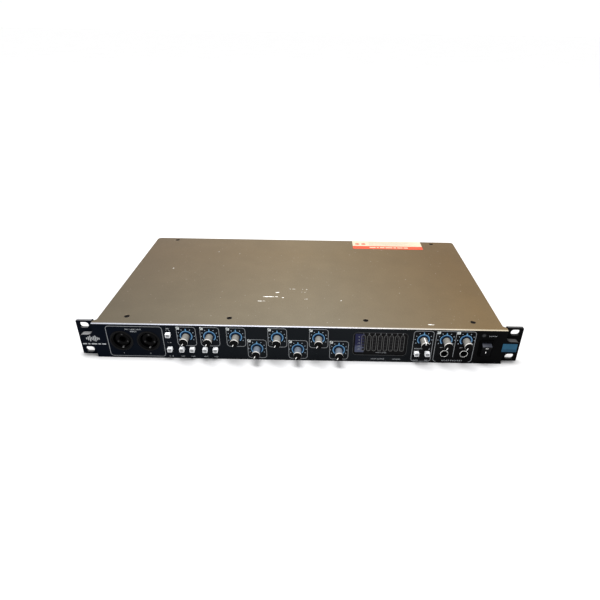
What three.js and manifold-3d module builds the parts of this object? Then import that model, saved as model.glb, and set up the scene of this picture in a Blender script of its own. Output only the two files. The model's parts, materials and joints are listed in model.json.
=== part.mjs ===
// A one-unit rack audio interface: grey steel case, black shaped front panel with rack ears,
// eleven rotary controls, eight push buttons, a mains rocker, a level meter and a rear panel of sockets.
// Millimetres. X runs along the panel, Y from front to back, Z up. While the pieces are made, y = 0 is the
// front face of the panel and z = 0 is what the case stands on. The last lines centre the whole on its box.
import * as THREE from "three";
import { mergeVertices } from "three/addons/utils/BufferGeometryUtils.js";
import Module from "manifold-3d";

const wasm = await Module();
wasm.setup();

// ---------------------------------------------------------------- driving dimensions
const seat = 0.3; // gap kept between neighbouring pieces

// rack standard
const panelWidth = 482.6;
const panelHeight = 43.7;
const slotEdge = 8.3; // from the panel's outer edge to the middle of a slot
const slotSpacingZ = 31.75;
const slotLength = 9.9;
const slotHeight = 6.9;
const slotCorner = 3.0;

// front panel
const earReach = 18.8;
const faceThickness = 3;
const earSetback = 6;
const earThickness = 3;
const earCorner = 1.5;
const rimThickness = 2.5;
const tongueHeight = 14.9;
const tongueTip = 3.4; // how far the tongue stops short of the ear's outer edge
const tongueFillet = 6;
const tongueCorner = 4.5;

// case
const caseInset = 4.5; // of the side wall behind the end of the fascia
const caseDepth = 237; // front face of the panel to the outside of the rear wall
const sheet = 1.2;
const coverThickness = 1.1;
const coverOverhang = 1;
const coverCorner = 5;
const frontRailDepth = 15;
const topFlange = 10;
const lipSetback = 0.6; // how far the cover's front edge stays behind the panel's face
const lipDepth = 8.7; // the lip is as wide as the fascia, then narrows to the case
const lipTaper = 3.5;
const lipRollDepth = 3.4; // the lip's front edge is rolled down over this depth
const lipRollDrop = 0.85;

// side vents
const ventCount = 17;
const ventPitch = 7;
const ventWidth = 3;
const ventHeight = 24;
const ventCentreY = 125;

// cover screws
const screwHeadRadius = 2.9;
const screwShankRadius = 1.4;
const screwLength = 7;
const screwRowFront = 16;
const screwRearInset = 6.6; // from the cover's rear edge
const frontScrewX = [-189, -77, 72, 189];
const rearScrewX = [-189, 186];

// label on the cover
const stickerWidth = 100.8;
const stickerDepth = 28;
const stickerCentreX = 120;
const stickerThickness = 0.15;

// rotary controls
const knobRadius = 4.5;
const knobWaist = 0.8; // how much narrower the cap is at the panel than at its face
const knobLength = 12.2;
const knobStandoff = 0.8;
const shaftRadius = 3;
const shaftClearance = 0.6;
const pointerWidth = 0.9;
const pointerProud = 0.25;
const minimumTurn = -150; // degrees from twelve o'clock, clockwise from the front
const upperRow = 29.6;
const lowerRow = 14.9;
const inputKnobX = [-122, -96.7];
const staggerFirstX = -68.4;
const staggerPitch = 22.3;
const staggerCount = 6;
const monitorX = 133.7;
const phonesX = [158.1, 179.4];
const outputRow = 30.3;

// push buttons
const buttonWidth = 5;
const buttonHeight = 4.8;
const buttonProud = 4;
const buttonCorner = 0.8;
const buttonReach = 11; // how far a button runs back behind the panel's face
const buttonClearance = 0.35;
const buttonRow = 12.9;
const buttonUpperRow = 31.6;
const phantomX = -141;
const buttonHalfPitch = 5.6;
const buttonPairShift = -0.4;
const monitorButtonHalfPitch = 5.8;

// front sockets
const comboRadius = 12;
const comboBore = 3.4;
const comboInsertRadius = 8;
const comboGapRadius = 9.6;
const comboGapDepth = 12;
const comboInsertRecess = 3;
const comboDepth = 24;
const comboBoreEnd = 20;
const frontComboX = [-192.9, -163.6];
const frontComboZ = 22.3;
const jackBore = 3.3;
const jackNutRadius = 4.45;
const jackNutProud = 1;
const jackNoseRadius = 4.1;
const jackShoulderGap = 0.5; // from the back of the panel's face to the jack's body
const jackBodyRadius = 6.5;
const jackBodyEnd = 26;
const jackBoreEnd = 22;
const phonesJackZ = 13.2;

// meter
const meterX = 87.5;
const meterZ = 23.5;
const meterWidth = 58.4;
const meterHeight = 29;
const meterCorner = 4;
const windowThickness = 1.5;
const windowRecess = 0.5;
const meterColumns = 8;
const meterRows = 5;
const meterColumnPitch = 6.03;
const meterRowPitch = 4;
const meterFirstColumnX = 69.2;
const meterLedSize = 1.6;
const meterBoardY = 6;

// power lamp and rocker
const lampX = 197.5;
const lampZ = 37.1;
const lampRadius = 2;
const lampProud = 0.8;
const rockerX = 202.2;
const rockerZ = 20.5;
const rockerWidth = 10.4;
const rockerHeight = 16.6;
const rockerWall = 0.9;
const rockerFlange = 0.8;
const rockerFlangeProud = 1;
const rockerDepth = 17;
const rockerPivotY = 4.5;
const rockerTilt = 10;
const rockerTip = 8.8; // reach of the rocker's ends in front of its pivot

// circuit boards
const boardThickness = 1.6;
const controlBoardY = 19;
const potSize = 10;
const mainBoardZ = 8;
const mainBoardX = [-205, 112];
const mainBoardFront = 44;
const mainBoardRearRoom = 35.8; // from the board's rear edge to the rear wall
const ribbonX = -40;
const supplyX = [132, 205];
const supplyFront = 60;
const supplyRearRoom = 45.8;
const controlBoardMargin = 2.3; // between the board and the front socket beside it

// rear sockets, x as seen from the front
const rearComboCount = 6;
const rearComboPitch = 29;
const rearComboEdge = 16; // from the side of the case to the last socket's middle
const rearComboZ = 22;
const lineOutX = [44, 26, 8, -10, -28];
const lineOutRows = [12, 31.5];
const lineOutBlockWidth = 15;
const lineOutNoseProud = 2.5;
const coaxX = 64;
const coaxRows = [12.5, 31];
const coaxShellRadius = 4.15;
const coaxShellProud = 8.3;
const coaxBore = 1.6;
const opticalX = 84;
const opticalRows = [13, 31];
const opticalFace = 10;
const opticalMouth = 6.2;
const midiX = [108, 132];
const midiZ = 22;
const midiRadius = 7.6;
const midiInsertRadius = 5.7;
const midiGapRadius = 7;
const dataPortX = 156;
const dataPortWidth = 11.9;
const dataPortHeight = 6.9;
const inletEdge = 27; // from the side of the case to the inlet's middle
const inletWidth = 27;
const inletHeight = 20;
const inletFlange = 2.2;
const inletFlangeProud = 1.8;
const inletMouthWidth = 24;
const inletMouthHeight = 16.4;
const inletDepth = 22;
const inletMouthDepth = 17;

// ---------------------------------------------------------------- derived planes
const panelHalf = panelWidth / 2;
const middleZ = panelHeight / 2;
const fasciaHalf = panelHalf - earReach;
const caseHalf = fasciaHalf - caseInset;
const fasciaDepth = earSetback + earThickness;
const coverUnder = panelHeight - coverThickness;
const fasciaTop = coverUnder - seat;
const trayFront = fasciaDepth + seat;
const trayTop = coverUnder - seat;
const rearInside = caseDepth - sheet;
const coverHalf = caseHalf + coverOverhang;
const coverRear = caseDepth + coverOverhang;
const screwRowRear = coverRear - screwRearInset;
const rearComboX = Array.from(
  { length: rearComboCount },
  (_, i) => rearComboEdge - caseHalf + (rearComboCount - 1 - i) * rearComboPitch,
);
const inletX = caseHalf - inletEdge;
const knobFront = -(knobStandoff + knobLength);
const channelCentres = [
  ...inputKnobX.map((x) => [x, upperRow]),
  ...Array.from({ length: staggerCount }, (_, i) => [
    staggerFirstX + i * staggerPitch,
    i % 2 ? lowerRow : upperRow,
  ]),
];

// ---------------------------------------------------------------- materials
const paint = (color, roughness, metalness) =>
  new THREE.MeshStandardMaterial({ color, roughness, metalness });
const caseGrey = paint(0x8b8479, 0.5, 0.4);
const panelBlack = paint(0x14161b, 0.45, 0.3);
const plasticBlack = paint(0x101114, 0.5, 0);
const knobGrey = paint(0x8d8a84, 0.45, 0);
const buttonGrey = paint(0xc9cbcc, 0.45, 0);
const glossBlack = paint(0x07080b, 0.12, 0);
const boardGreen = paint(0x1f5a38, 0.6, 0);
const screwBlack = paint(0x1a1a1a, 0.4, 0.8);
const nickel = paint(0xb9bab8, 0.3, 0.9);
const lampBlue = paint(0x9fb6c8, 0.2, 0);
const stickerWhite = paint(0xe9e6de, 0.6, 0);
const ribbonGrey = paint(0x9a9c9f, 0.7, 0);

// ---------------------------------------------------------------- shape helpers
// A box between two corners.
function block(x0, x1, y0, y1, z0, z1) {
  return new THREE.BoxGeometry(x1 - x0, y1 - y0, z1 - z0).translate(
    (x0 + x1) / 2,
    (y0 + y1) / 2,
    (z0 + z1) / 2,
  );
}

// A box on a centre line in x and z, between two depths.
function centredBlock(x, z, width, height, y0, y1) {
  return block(x - width / 2, x + width / 2, y0, y1, z - height / 2, z + height / 2);
}

// A rectangle with round corners as a shape in the plane (u, v).
function roundedRectangle(u, v, width, height, radius) {
  const r = Math.min(radius, width / 2 - 0.01, height / 2 - 0.01);
  const [u0, u1, v0, v1] = [u - width / 2, u + width / 2, v - height / 2, v + height / 2];
  const shape = new THREE.Shape();
  shape.moveTo(u0 + r, v0);
  shape.lineTo(u1 - r, v0);
  shape.absarc(u1 - r, v0 + r, r, -Math.PI / 2, 0);
  shape.lineTo(u1, v1 - r);
  shape.absarc(u1 - r, v1 - r, r, 0, Math.PI / 2);
  shape.lineTo(u0 + r, v1);
  shape.absarc(u0 + r, v1 - r, r, Math.PI / 2, Math.PI);
  shape.lineTo(u0, v0 + r);
  shape.absarc(u0 + r, v0 + r, r, Math.PI, 1.5 * Math.PI);
  return shape;
}

// A shape drawn in the front view (x, z), given thickness from y0 to y1.
function frontPlate(shape, y0, y1, curveSegments = 5) {
  return new THREE.ExtrudeGeometry(shape, { depth: y1 - y0, bevelEnabled: false, curveSegments })
    .rotateX(Math.PI / 2)
    .translate(0, y1, 0);
}

// A shape drawn in the plan view (x, y), given thickness from z0 to z1.
function planPlate(shape, z0, z1, curveSegments = 5) {
  return new THREE.ExtrudeGeometry(shape, {
    depth: z1 - z0,
    bevelEnabled: false,
    curveSegments,
  }).translate(0, 0, z0);
}

// A shape drawn in the side view (y, z), given thickness from x0 to x1.
function sidePlate(shape, x0, x1) {
  return new THREE.ExtrudeGeometry(shape, { depth: x1 - x0, bevelEnabled: false })
    .rotateX(Math.PI / 2)
    .rotateZ(Math.PI / 2)
    .translate(x0, 0, 0);
}

// A profile of [radius, y] points turned about the Y axis. It starts and ends on the axis.
function turned(profile, sides) {
  const points = profile.map(([r, y]) => new THREE.Vector2(r, y));
  if (THREE.ShapeUtils.area(points) < 0) points.reverse();
  return new THREE.LatheGeometry(points, sides);
}

// A plain round bar along Y.
function bar(x, z, radius, y0, y1, sides) {
  return new THREE.CylinderGeometry(radius, radius, y1 - y0, sides).translate(x, (y0 + y1) / 2, z);
}

// A plain round bar along Z.
function post(x, y, radius, z0, z1, sides) {
  return new THREE.CylinderGeometry(radius, radius, z1 - z0, sides)
    .rotateX(Math.PI / 2)
    .translate(x, y, (z0 + z1) / 2);
}

// A closed geometry as a solid that can be cut and joined.
function solid(geometry) {
  const bare = geometry.clone();
  bare.deleteAttribute("normal");
  bare.deleteAttribute("uv");
  const merged = mergeVertices(bare, 1e-4);
  return new wasm.Manifold(
    new wasm.Mesh({
      numProp: 3,
      vertProperties: new Float32Array(merged.attributes.position.array),
      triVerts: new Uint32Array(merged.index.array),
    }),
  );
}

const joinAll = (geometries) => geometries.map(solid).reduce((a, b) => a.add(b));
const cutAll = (body, geometries) => geometries.map(solid).reduce((a, b) => a.subtract(b), body);

// A named mesh from a geometry or from a solid.
function piece(name, material, shape, x = 0, y = 0, z = 0) {
  let geometry = shape;
  if (!shape.isBufferGeometry) {
    const mesh = shape.getMesh();
    geometry = new THREE.BufferGeometry()
      .setAttribute("position", new THREE.BufferAttribute(mesh.vertProperties, 3))
      .setIndex(new THREE.BufferAttribute(mesh.triVerts, 1));
  }
  const made = new THREE.Mesh(geometry, material);
  made.name = name;
  made.position.set(x, y, z);
  return made;
}

// ---------------------------------------------------------------- front panel
// The tongue between the two slots of one ear, for side +1 or -1, drawn on the right and mirrored by x.
function tongueOutline(side) {
  const half = tongueHeight / 2;
  const end = panelHalf - tongueTip;
  const points = [];
  const arc = (cx, cz, r, from, to, steps) => {
    for (let i = 0; i <= steps; i++) {
      const a = from + ((to - from) * i) / steps;
      points.push(new THREE.Vector2(side * (cx + r * Math.cos(a)), cz + r * Math.sin(a)));
    }
  };
  points.push(new THREE.Vector2(side * (fasciaHalf - 1), middleZ - half - tongueFillet));
  arc(fasciaHalf + tongueFillet, middleZ - half - tongueFillet, tongueFillet, Math.PI, Math.PI / 2, 8);
  arc(end - tongueCorner, middleZ - half + tongueCorner, tongueCorner, -Math.PI / 2, 0, 4);
  arc(end - tongueCorner, middleZ + half - tongueCorner, tongueCorner, 0, Math.PI / 2, 4);
  arc(fasciaHalf + tongueFillet, middleZ + half + tongueFillet, tongueFillet, -Math.PI / 2, -Math.PI, 8);
  points.push(new THREE.Vector2(side * (fasciaHalf - 1), middleZ + half + tongueFillet));
  return new THREE.Shape(points);
}

function frontPanel() {
  const earInner = fasciaHalf - rimThickness;
  const solids = [block(-fasciaHalf, fasciaHalf, 0, fasciaDepth, 0, fasciaTop)];
  for (const side of [-1, 1]) {
    const centre = (side * (earInner + panelHalf)) / 2;
    const ear = roundedRectangle(centre, middleZ, panelHalf - earInner, panelHeight, earCorner);
    solids.push(frontPlate(ear, earSetback, fasciaDepth, 3));
    solids.push(frontPlate(tongueOutline(side), 0, earSetback + 0.5));
  }
  const through = [-1, fasciaDepth + 1];
  const cuts = [
    block(
      -fasciaHalf + rimThickness,
      fasciaHalf - rimThickness,
      faceThickness,
      fasciaDepth + 1,
      rimThickness,
      fasciaTop - rimThickness,
    ),
  ];
  // The ears stand taller than the fascia, so their inner ends are cut away below the cover's lip.
  const lipRoom = fasciaHalf + seat;
  cuts.push(block(-lipRoom, lipRoom, earSetback - 1, fasciaDepth + 1, fasciaTop, panelHeight + 1));
  for (const side of [-1, 1])
    for (const row of [-1, 1]) {
      const slot = roundedRectangle(
        side * (panelHalf - slotEdge),
        middleZ + (row * slotSpacingZ) / 2,
        slotLength,
        slotHeight,
        slotCorner,
      );
      cuts.push(frontPlate(slot, ...through, 6));
    }
  for (const x of frontComboX) cuts.push(bar(x, frontComboZ, comboRadius + seat, ...through, 28));
  for (const x of phonesX) cuts.push(bar(x, phonesJackZ, jackNoseRadius + seat, ...through, 14));
  for (const { x, z } of knobs()) cuts.push(bar(x, z, shaftRadius + shaftClearance, ...through, 12));
  for (const { x, z } of buttons())
    cuts.push(
      centredBlock(x, z, buttonWidth + 2 * buttonClearance, buttonHeight + 2 * buttonClearance, ...through),
    );
  cuts.push(frontPlate(roundedRectangle(meterX, meterZ, meterWidth, meterHeight, meterCorner), ...through));
  cuts.push(bar(lampX, lampZ, lampRadius + seat, ...through, 16));
  const [bodyWidth, bodyHeight] = rockerBodySize();
  cuts.push(centredBlock(rockerX, rockerZ, bodyWidth + 2 * seat, bodyHeight + 2 * seat, ...through));
  return piece("front_panel", panelBlack, cutAll(joinAll(solids), cuts));
}

// ---------------------------------------------------------------- case
function screwPlaces() {
  return [
    ...frontScrewX.map((x) => [x, screwRowFront]),
    ...rearScrewX.map((x) => [x, screwRowRear]),
  ];
}

// A countersunk head and its shank, with its top at z = 0, grown by a clearance.
function screwShape(grow) {
  const head = screwHeadRadius + grow;
  const shank = screwShankRadius + grow;
  const profile = [
    [0, 0],
    [head, 0],
    [shank, -coverThickness],
    [shank, -screwLength],
    [0, -screwLength],
  ];
  return turned(profile, 16).rotateX(Math.PI / 2);
}

// One flat sheet with round rear corners and a front lip that widens to the fascia.
function topCover() {
  const shape = new THREE.Shape();
  const inner = coverHalf - coverCorner;
  shape.moveTo(-coverHalf, lipDepth);
  shape.lineTo(-fasciaHalf, lipDepth - lipTaper);
  shape.lineTo(-fasciaHalf, lipSetback);
  shape.lineTo(fasciaHalf, lipSetback);
  shape.lineTo(fasciaHalf, lipDepth - lipTaper);
  shape.lineTo(coverHalf, lipDepth);
  shape.lineTo(coverHalf, coverRear - coverCorner);
  shape.absarc(inner, coverRear - coverCorner, coverCorner, 0, Math.PI / 2);
  shape.lineTo(-inner, coverRear);
  shape.absarc(-inner, coverRear - coverCorner, coverCorner, Math.PI / 2, Math.PI);
  shape.closePath();
  const sheetBody = solid(planPlate(shape, coverUnder, panelHeight)).intersect(solid(rolledSection()));
  const holes = screwPlaces().map(([x, y]) => screwShape(seat).translate(x, y, panelHeight));
  return piece("top_cover", caseGrey, cutAll(sheetBody, holes));
}

// The cover's side view: flat, with a quarter of an ellipse down to its front edge.
function rolledSection() {
  const steps = 7;
  const outline = [new THREE.Vector2(lipSetback, coverUnder - 1)];
  for (let i = 0; i <= steps; i++) {
    const a = ((Math.PI / 2) * i) / steps;
    const y = lipSetback + lipRollDepth * (1 - Math.cos(a));
    outline.push(new THREE.Vector2(y, panelHeight - lipRollDrop * (1 - Math.sin(a))));
  }
  outline.push(new THREE.Vector2(coverRear + 1, panelHeight));
  outline.push(new THREE.Vector2(coverRear + 1, coverUnder - 1));
  return sidePlate(new THREE.Shape(outline), -panelHalf, panelHalf);
}

function coverScrews() {
  return screwPlaces().map(([x, y], i) =>
    piece(`cover_screw_${i + 1}`, screwBlack, screwShape(0), x, y, panelHeight - 0.05),
  );
}

function chassisTray() {
  const cuts = [
    block(-caseHalf + sheet, caseHalf - sheet, trayFront - 1, rearInside, sheet, trayTop - sheet),
    block(
      -caseHalf + topFlange,
      caseHalf - topFlange,
      trayFront + frontRailDepth,
      rearInside - topFlange,
      trayTop - sheet - 1,
      trayTop + 1,
    ),
  ];
  for (const side of [-1, 1])
    for (let i = 0; i < ventCount; i++) {
      const y = ventCentreY + (i - (ventCount - 1) / 2) * ventPitch;
      const x = side * (caseHalf - sheet / 2);
      const vent = centredBlock(x, middleZ, 2 * sheet, ventHeight, y - ventWidth / 2, y + ventWidth / 2);
      cuts.push(vent);
    }
  for (const [x, y] of screwPlaces())
    cuts.push(post(x, y, screwShankRadius + seat, trayTop - sheet - 1, trayTop + 1, 12));
  const through = [rearInside - 1, caseDepth + 1];
  for (const x of rearComboX) cuts.push(bar(x, rearComboZ, comboRadius + seat, ...through, 20));
  for (const x of lineOutX)
    for (const z of lineOutRows) cuts.push(bar(x, z, jackNoseRadius + seat, ...through, 12));
  for (const z of coaxRows) cuts.push(bar(coaxX, z, coaxShellRadius + seat, ...through, 12));
  for (const z of opticalRows)
    cuts.push(centredBlock(opticalX, z, opticalFace + 2 * seat, opticalFace + 2 * seat, ...through));
  for (const x of midiX) cuts.push(bar(x, midiZ, midiRadius + seat, ...through, 18));
  const windows = [
    [dataPortX, dataPortWidth, dataPortHeight],
    [inletX, inletWidth, inletHeight],
  ];
  for (const [x, width, height] of windows)
    cuts.push(centredBlock(x, middleZ, width + 2 * seat, height + 2 * seat, ...through));
  const outer = solid(block(-caseHalf, caseHalf, trayFront, caseDepth, 0, trayTop));
  return piece("chassis_tray", caseGrey, cutAll(outer, cuts));
}

function coverSticker() {
  const gap = 0.05;
  const bottom = panelHeight + gap;
  const back = coverRear - 0.3;
  const label = block(
    stickerCentreX - stickerWidth / 2,
    stickerCentreX + stickerWidth / 2,
    back - stickerDepth,
    back,
    bottom,
    bottom + stickerThickness,
  );
  return piece("cover_sticker", stickerWhite, label);
}

// ---------------------------------------------------------------- rotary controls
// Every rotary control: its name, its place and the turn of its pointer at rest.
function knobs() {
  return [
    ...channelCentres.map(([x, z], i) => ({ name: `gain_knob_${i + 1}`, x, z, turn: minimumTurn })),
    { name: "monitor_knob", x: monitorX, z: outputRow, turn: 0 },
    ...phonesX.map((x, i) => ({ name: `phones_knob_${i + 1}`, x, z: outputRow, turn: minimumTurn })),
  ];
}

// A cap that widens towards its face, on its shaft, with a raised pointer along its top.
function knobPiece({ name, x, z, turn }) {
  const edge = 0.5;
  const waist = knobRadius - knobWaist;
  const cap = turned(
    [
      [0, -knobStandoff],
      [waist, -knobStandoff],
      [knobRadius, knobFront + edge],
      [knobRadius - edge, knobFront],
      [0, knobFront],
    ],
    16,
  );
  const shaft = bar(0, 0, shaftRadius, -knobStandoff - 1, fasciaDepth - seat, 12);
  const ridge = new THREE.Shape([
    new THREE.Vector2(knobFront, knobRadius - edge - 0.8),
    new THREE.Vector2(knobFront, knobRadius - edge),
    new THREE.Vector2(knobFront + edge, knobRadius + pointerProud),
    new THREE.Vector2(-knobStandoff - 1, waist + pointerProud),
    new THREE.Vector2(-knobStandoff - 1, waist - 0.5),
  ]);
  const along = sidePlate(ridge, -pointerWidth / 2, pointerWidth / 2);
  const made = piece(name, knobGrey, joinAll([cap, shaft, along]), x, 0, z);
  made.rotation.y = THREE.MathUtils.degToRad(turn);
  return made;
}

// ---------------------------------------------------------------- push buttons
function buttons() {
  const pairs = inputKnobX.flatMap((x, i) => [
    { name: `inst_button_${i + 1}`, x: x + buttonPairShift - buttonHalfPitch, z: buttonRow },
    { name: `pad_button_${i + 1}`, x: x + buttonPairShift + buttonHalfPitch, z: buttonRow },
  ]);
  return [
    { name: "phantom_button_1", x: phantomX, z: buttonUpperRow },
    { name: "phantom_button_2", x: phantomX, z: buttonRow },
    ...pairs,
    { name: "mute_button", x: monitorX - monitorButtonHalfPitch, z: buttonRow },
    { name: "dim_button", x: monitorX + monitorButtonHalfPitch, z: buttonRow },
  ];
}

function buttonPiece({ name, x, z }) {
  const cap = roundedRectangle(0, 0, buttonWidth, buttonHeight, buttonCorner);
  return piece(name, buttonGrey, frontPlate(cap, -buttonProud, buttonReach, 2), x, 0, z);
}

// ---------------------------------------------------------------- sockets
// A round socket with a blind bore in a standing insert. It faces -Y, with its mouth at y = 0.
function comboSocket(sides) {
  const profile = [
    [0, comboBoreEnd],
    [comboBore, comboBoreEnd],
    [comboBore, comboInsertRecess],
    [comboInsertRadius, comboInsertRecess],
    [comboInsertRadius, comboGapDepth],
    [comboGapRadius, comboGapDepth],
    [comboGapRadius, 0],
    [comboRadius, 0],
    [comboRadius, comboDepth],
    [0, comboDepth],
  ];
  return turned(profile, sides);
}

function frontCombos() {
  return frontComboX.map((x, i) =>
    piece(`front_combo_jack_${i + 1}`, plasticBlack, comboSocket(16), x, 0, frontComboZ),
  );
}

function rearCombos() {
  return rearComboX.map((x, i) => {
    const made = piece(`rear_combo_jack_${i + 3}`, plasticBlack, comboSocket(16), x, caseDepth, rearComboZ);
    made.rotation.z = Math.PI;
    return made;
  });
}

// A panel jack: round nut in front, nose through the panel, body behind.
function phonesJacks() {
  const back = faceThickness + jackShoulderGap;
  const profile = [
    [0, jackBoreEnd],
    [jackBore, jackBoreEnd],
    [jackBore, -seat - jackNutProud],
    [jackNutRadius, -seat - jackNutProud],
    [jackNutRadius, -seat],
    [jackNoseRadius, -seat],
    [jackNoseRadius, back],
    [jackBodyRadius, back],
    [jackBodyRadius, jackBodyEnd],
    [0, jackBodyEnd],
  ];
  return phonesX.map((x, i) =>
    piece(`phones_jack_${i + 1}`, nickel, turned(profile, 16), x, 0, phonesJackZ),
  );
}

// Two stacked jacks in one housing behind the rear wall, their noses through it.
function lineOutBlocks() {
  const wall = rearInside - seat;
  const mouth = caseDepth + lineOutNoseProud;
  const bodyDepth = 26;
  const boreDepth = 22;
  return lineOutX.map((x, i) => {
    const body = [centredBlock(0, middleZ, lineOutBlockWidth, 36, wall - bodyDepth, wall)];
    const bores = [];
    for (const z of lineOutRows) {
      body.push(bar(0, z, jackNoseRadius, wall - 1, mouth, 14));
      bores.push(bar(0, z, jackBore, mouth - boreDepth, mouth + 1, 12));
    }
    return piece(`line_out_jacks_${i + 1}`, plasticBlack, cutAll(joinAll(body), bores), x);
  });
}

function coaxJacks() {
  const wall = rearInside - seat;
  const mouth = caseDepth + coaxShellProud;
  const body = [centredBlock(coaxX, middleZ, 14, 36, wall - 14, wall)];
  const bores = [];
  for (const z of coaxRows) {
    body.push(bar(coaxX, z, coaxShellRadius, wall - 1, mouth, 16));
    bores.push(bar(coaxX, z, coaxBore, mouth - 9, mouth + 1, 8));
  }
  return piece("coax_jacks", nickel, cutAll(joinAll(body), bores));
}

function opticalPorts() {
  const wall = rearInside - seat;
  const face = caseDepth + 0.5;
  const mouthDepth = 8;
  const body = [centredBlock(opticalX, middleZ, 14, 36, wall - 14, wall)];
  const mouths = [];
  for (const z of opticalRows) {
    body.push(centredBlock(opticalX, z, opticalFace, opticalFace, wall - 1, face));
    mouths.push(centredBlock(opticalX, z, opticalMouth, opticalMouth, face - mouthDepth, face + 1));
  }
  return piece("optical_ports", plasticBlack, cutAll(joinAll(body), mouths));
}

function midiSockets() {
  const gapDepth = 7;
  const depth = 14;
  const profile = [
    [0, 0.6],
    [midiInsertRadius, 0.6],
    [midiInsertRadius, gapDepth],
    [midiGapRadius, gapDepth],
    [midiGapRadius, 0],
    [midiRadius, 0],
    [midiRadius, depth],
    [0, depth],
  ];
  return midiX.map((x, i) => {
    const name = i ? "midi_out_socket" : "midi_in_socket";
    const made = piece(name, plasticBlack, turned(profile, 16), x, caseDepth, midiZ);
    made.rotation.z = Math.PI;
    return made;
  });
}

function dataPort() {
  const face = caseDepth + 0.5;
  const mouthDepth = 7;
  const shell = 0.6;
  const tongueWidth = dataPortWidth - 5;
  const tongueThickness = 2.4;
  const at = (width, height, y0, y1) => centredBlock(dataPortX, middleZ, width, height, y0, y1);
  const outer = solid(at(dataPortWidth, dataPortHeight, rearInside - 13, face));
  const mouth = at(dataPortWidth - 2 * shell, dataPortHeight - 2 * shell, face - mouthDepth, face + 1);
  const tongue = at(tongueWidth, tongueThickness, face - mouthDepth - 1, face - 1);
  return piece("data_port", nickel, outer.subtract(solid(mouth)).add(solid(tongue)));
}

// An appliance inlet: flange outside the rear wall, body through it, three blades in the mouth.
function mainsInlet() {
  const flangeBack = caseDepth + seat;
  const face = flangeBack + inletFlangeProud;
  const floor = face - inletMouthDepth;
  const at = (width, height, y0, y1) => centredBlock(inletX, middleZ, width, height, y0, y1);
  const flange = at(inletWidth + 2 * inletFlange, inletHeight + 2 * inletFlange, flangeBack, face);
  const body = at(inletWidth, inletHeight, face - inletDepth, face - 0.5);
  const mouth = at(inletMouthWidth, inletMouthHeight, floor, face + 1);
  const blades = [
    [-7, -2.5],
    [7, -2.5],
    [0, 3.5],
  ].map(([dx, dz]) => centredBlock(inletX + dx, middleZ + dz, 2, 4, floor - 1, face - 1.5));
  const hollow = cutAll(joinAll([flange, body]), [mouth]);
  return piece("mains_inlet", plasticBlack, hollow.add(joinAll(blades)));
}

// ---------------------------------------------------------------- meter, lamp and rocker
function meterWindow() {
  const [width, height] = [meterWidth - 2 * seat, meterHeight - 2 * seat];
  const shape = roundedRectangle(meterX, meterZ, width, height, meterCorner - seat);
  return piece("meter_window", glossBlack, frontPlate(shape, windowRecess, windowRecess + windowThickness));
}

function meterBoard() {
  const lensGap = windowRecess + windowThickness + seat;
  const body = [
    centredBlock(meterX, meterZ, meterWidth - 2, meterHeight - 2, meterBoardY, meterBoardY + boardThickness),
  ];
  for (let c = 0; c < meterColumns; c++)
    for (let r = 0; r < meterRows; r++) {
      const x = meterFirstColumnX + c * meterColumnPitch;
      const z = meterZ + (r - (meterRows - 1) / 2) * meterRowPitch;
      body.push(centredBlock(x, z, meterLedSize, meterLedSize, lensGap, meterBoardY + 0.5));
    }
  return piece("meter_board", boardGreen, joinAll(body));
}

function powerLamp() {
  const dome = turned(
    [
      [0, -lampProud],
      [lampRadius * 0.6, -lampProud * 0.75],
      [lampRadius, 0],
      [lampRadius, faceThickness + 1],
      [0, faceThickness + 1],
    ],
    16,
  );
  return piece("power_lamp", lampBlue, dome, lampX, 0, lampZ);
}

// The rocker housing's body, width and height.
function rockerBodySize() {
  const around = 2 * (seat + rockerWall);
  return [rockerWidth + around, rockerHeight + around];
}

function rockerHousing() {
  const [bodyWidth, bodyHeight] = rockerBodySize();
  const flangeBack = -seat;
  const body = joinAll([
    centredBlock(
      rockerX,
      rockerZ,
      bodyWidth + 2 * (seat + rockerFlange),
      bodyHeight + 2 * (seat + rockerFlange),
      flangeBack - rockerFlangeProud,
      flangeBack,
    ),
    centredBlock(rockerX, rockerZ, bodyWidth, bodyHeight, flangeBack - 0.5, rockerDepth),
  ]);
  const well = centredBlock(
    rockerX,
    rockerZ,
    rockerWidth + 2 * seat,
    rockerHeight + 2 * seat,
    -10,
    rockerDepth - rockerWall,
  );
  return piece("rocker_housing", plasticBlack, body.subtract(solid(well)));
}

// The rocker, drawn level about its pivot and then tipped so that its upper end stands out.
function powerRocker() {
  const half = rockerHeight / 2;
  const section = [
    [-rockerTip, half - 1.6],
    [-rockerTip + 1.2, 0],
    [-rockerTip, -half + 1.6],
    [-rockerTip / 2, -half + 0.7],
    [1.5, -half + 2.1],
    [3, 0],
    [1.5, half - 2.1],
    [-rockerTip / 2, half - 0.7],
  ];
  const shape = new THREE.Shape(section.map(([y, z]) => new THREE.Vector2(y, z)));
  const body = sidePlate(shape, -rockerWidth / 2, rockerWidth / 2);
  const made = piece("power_rocker", plasticBlack, body, rockerX, rockerPivotY, rockerZ);
  made.rotation.x = THREE.MathUtils.degToRad(rockerTilt);
  return made;
}

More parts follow.
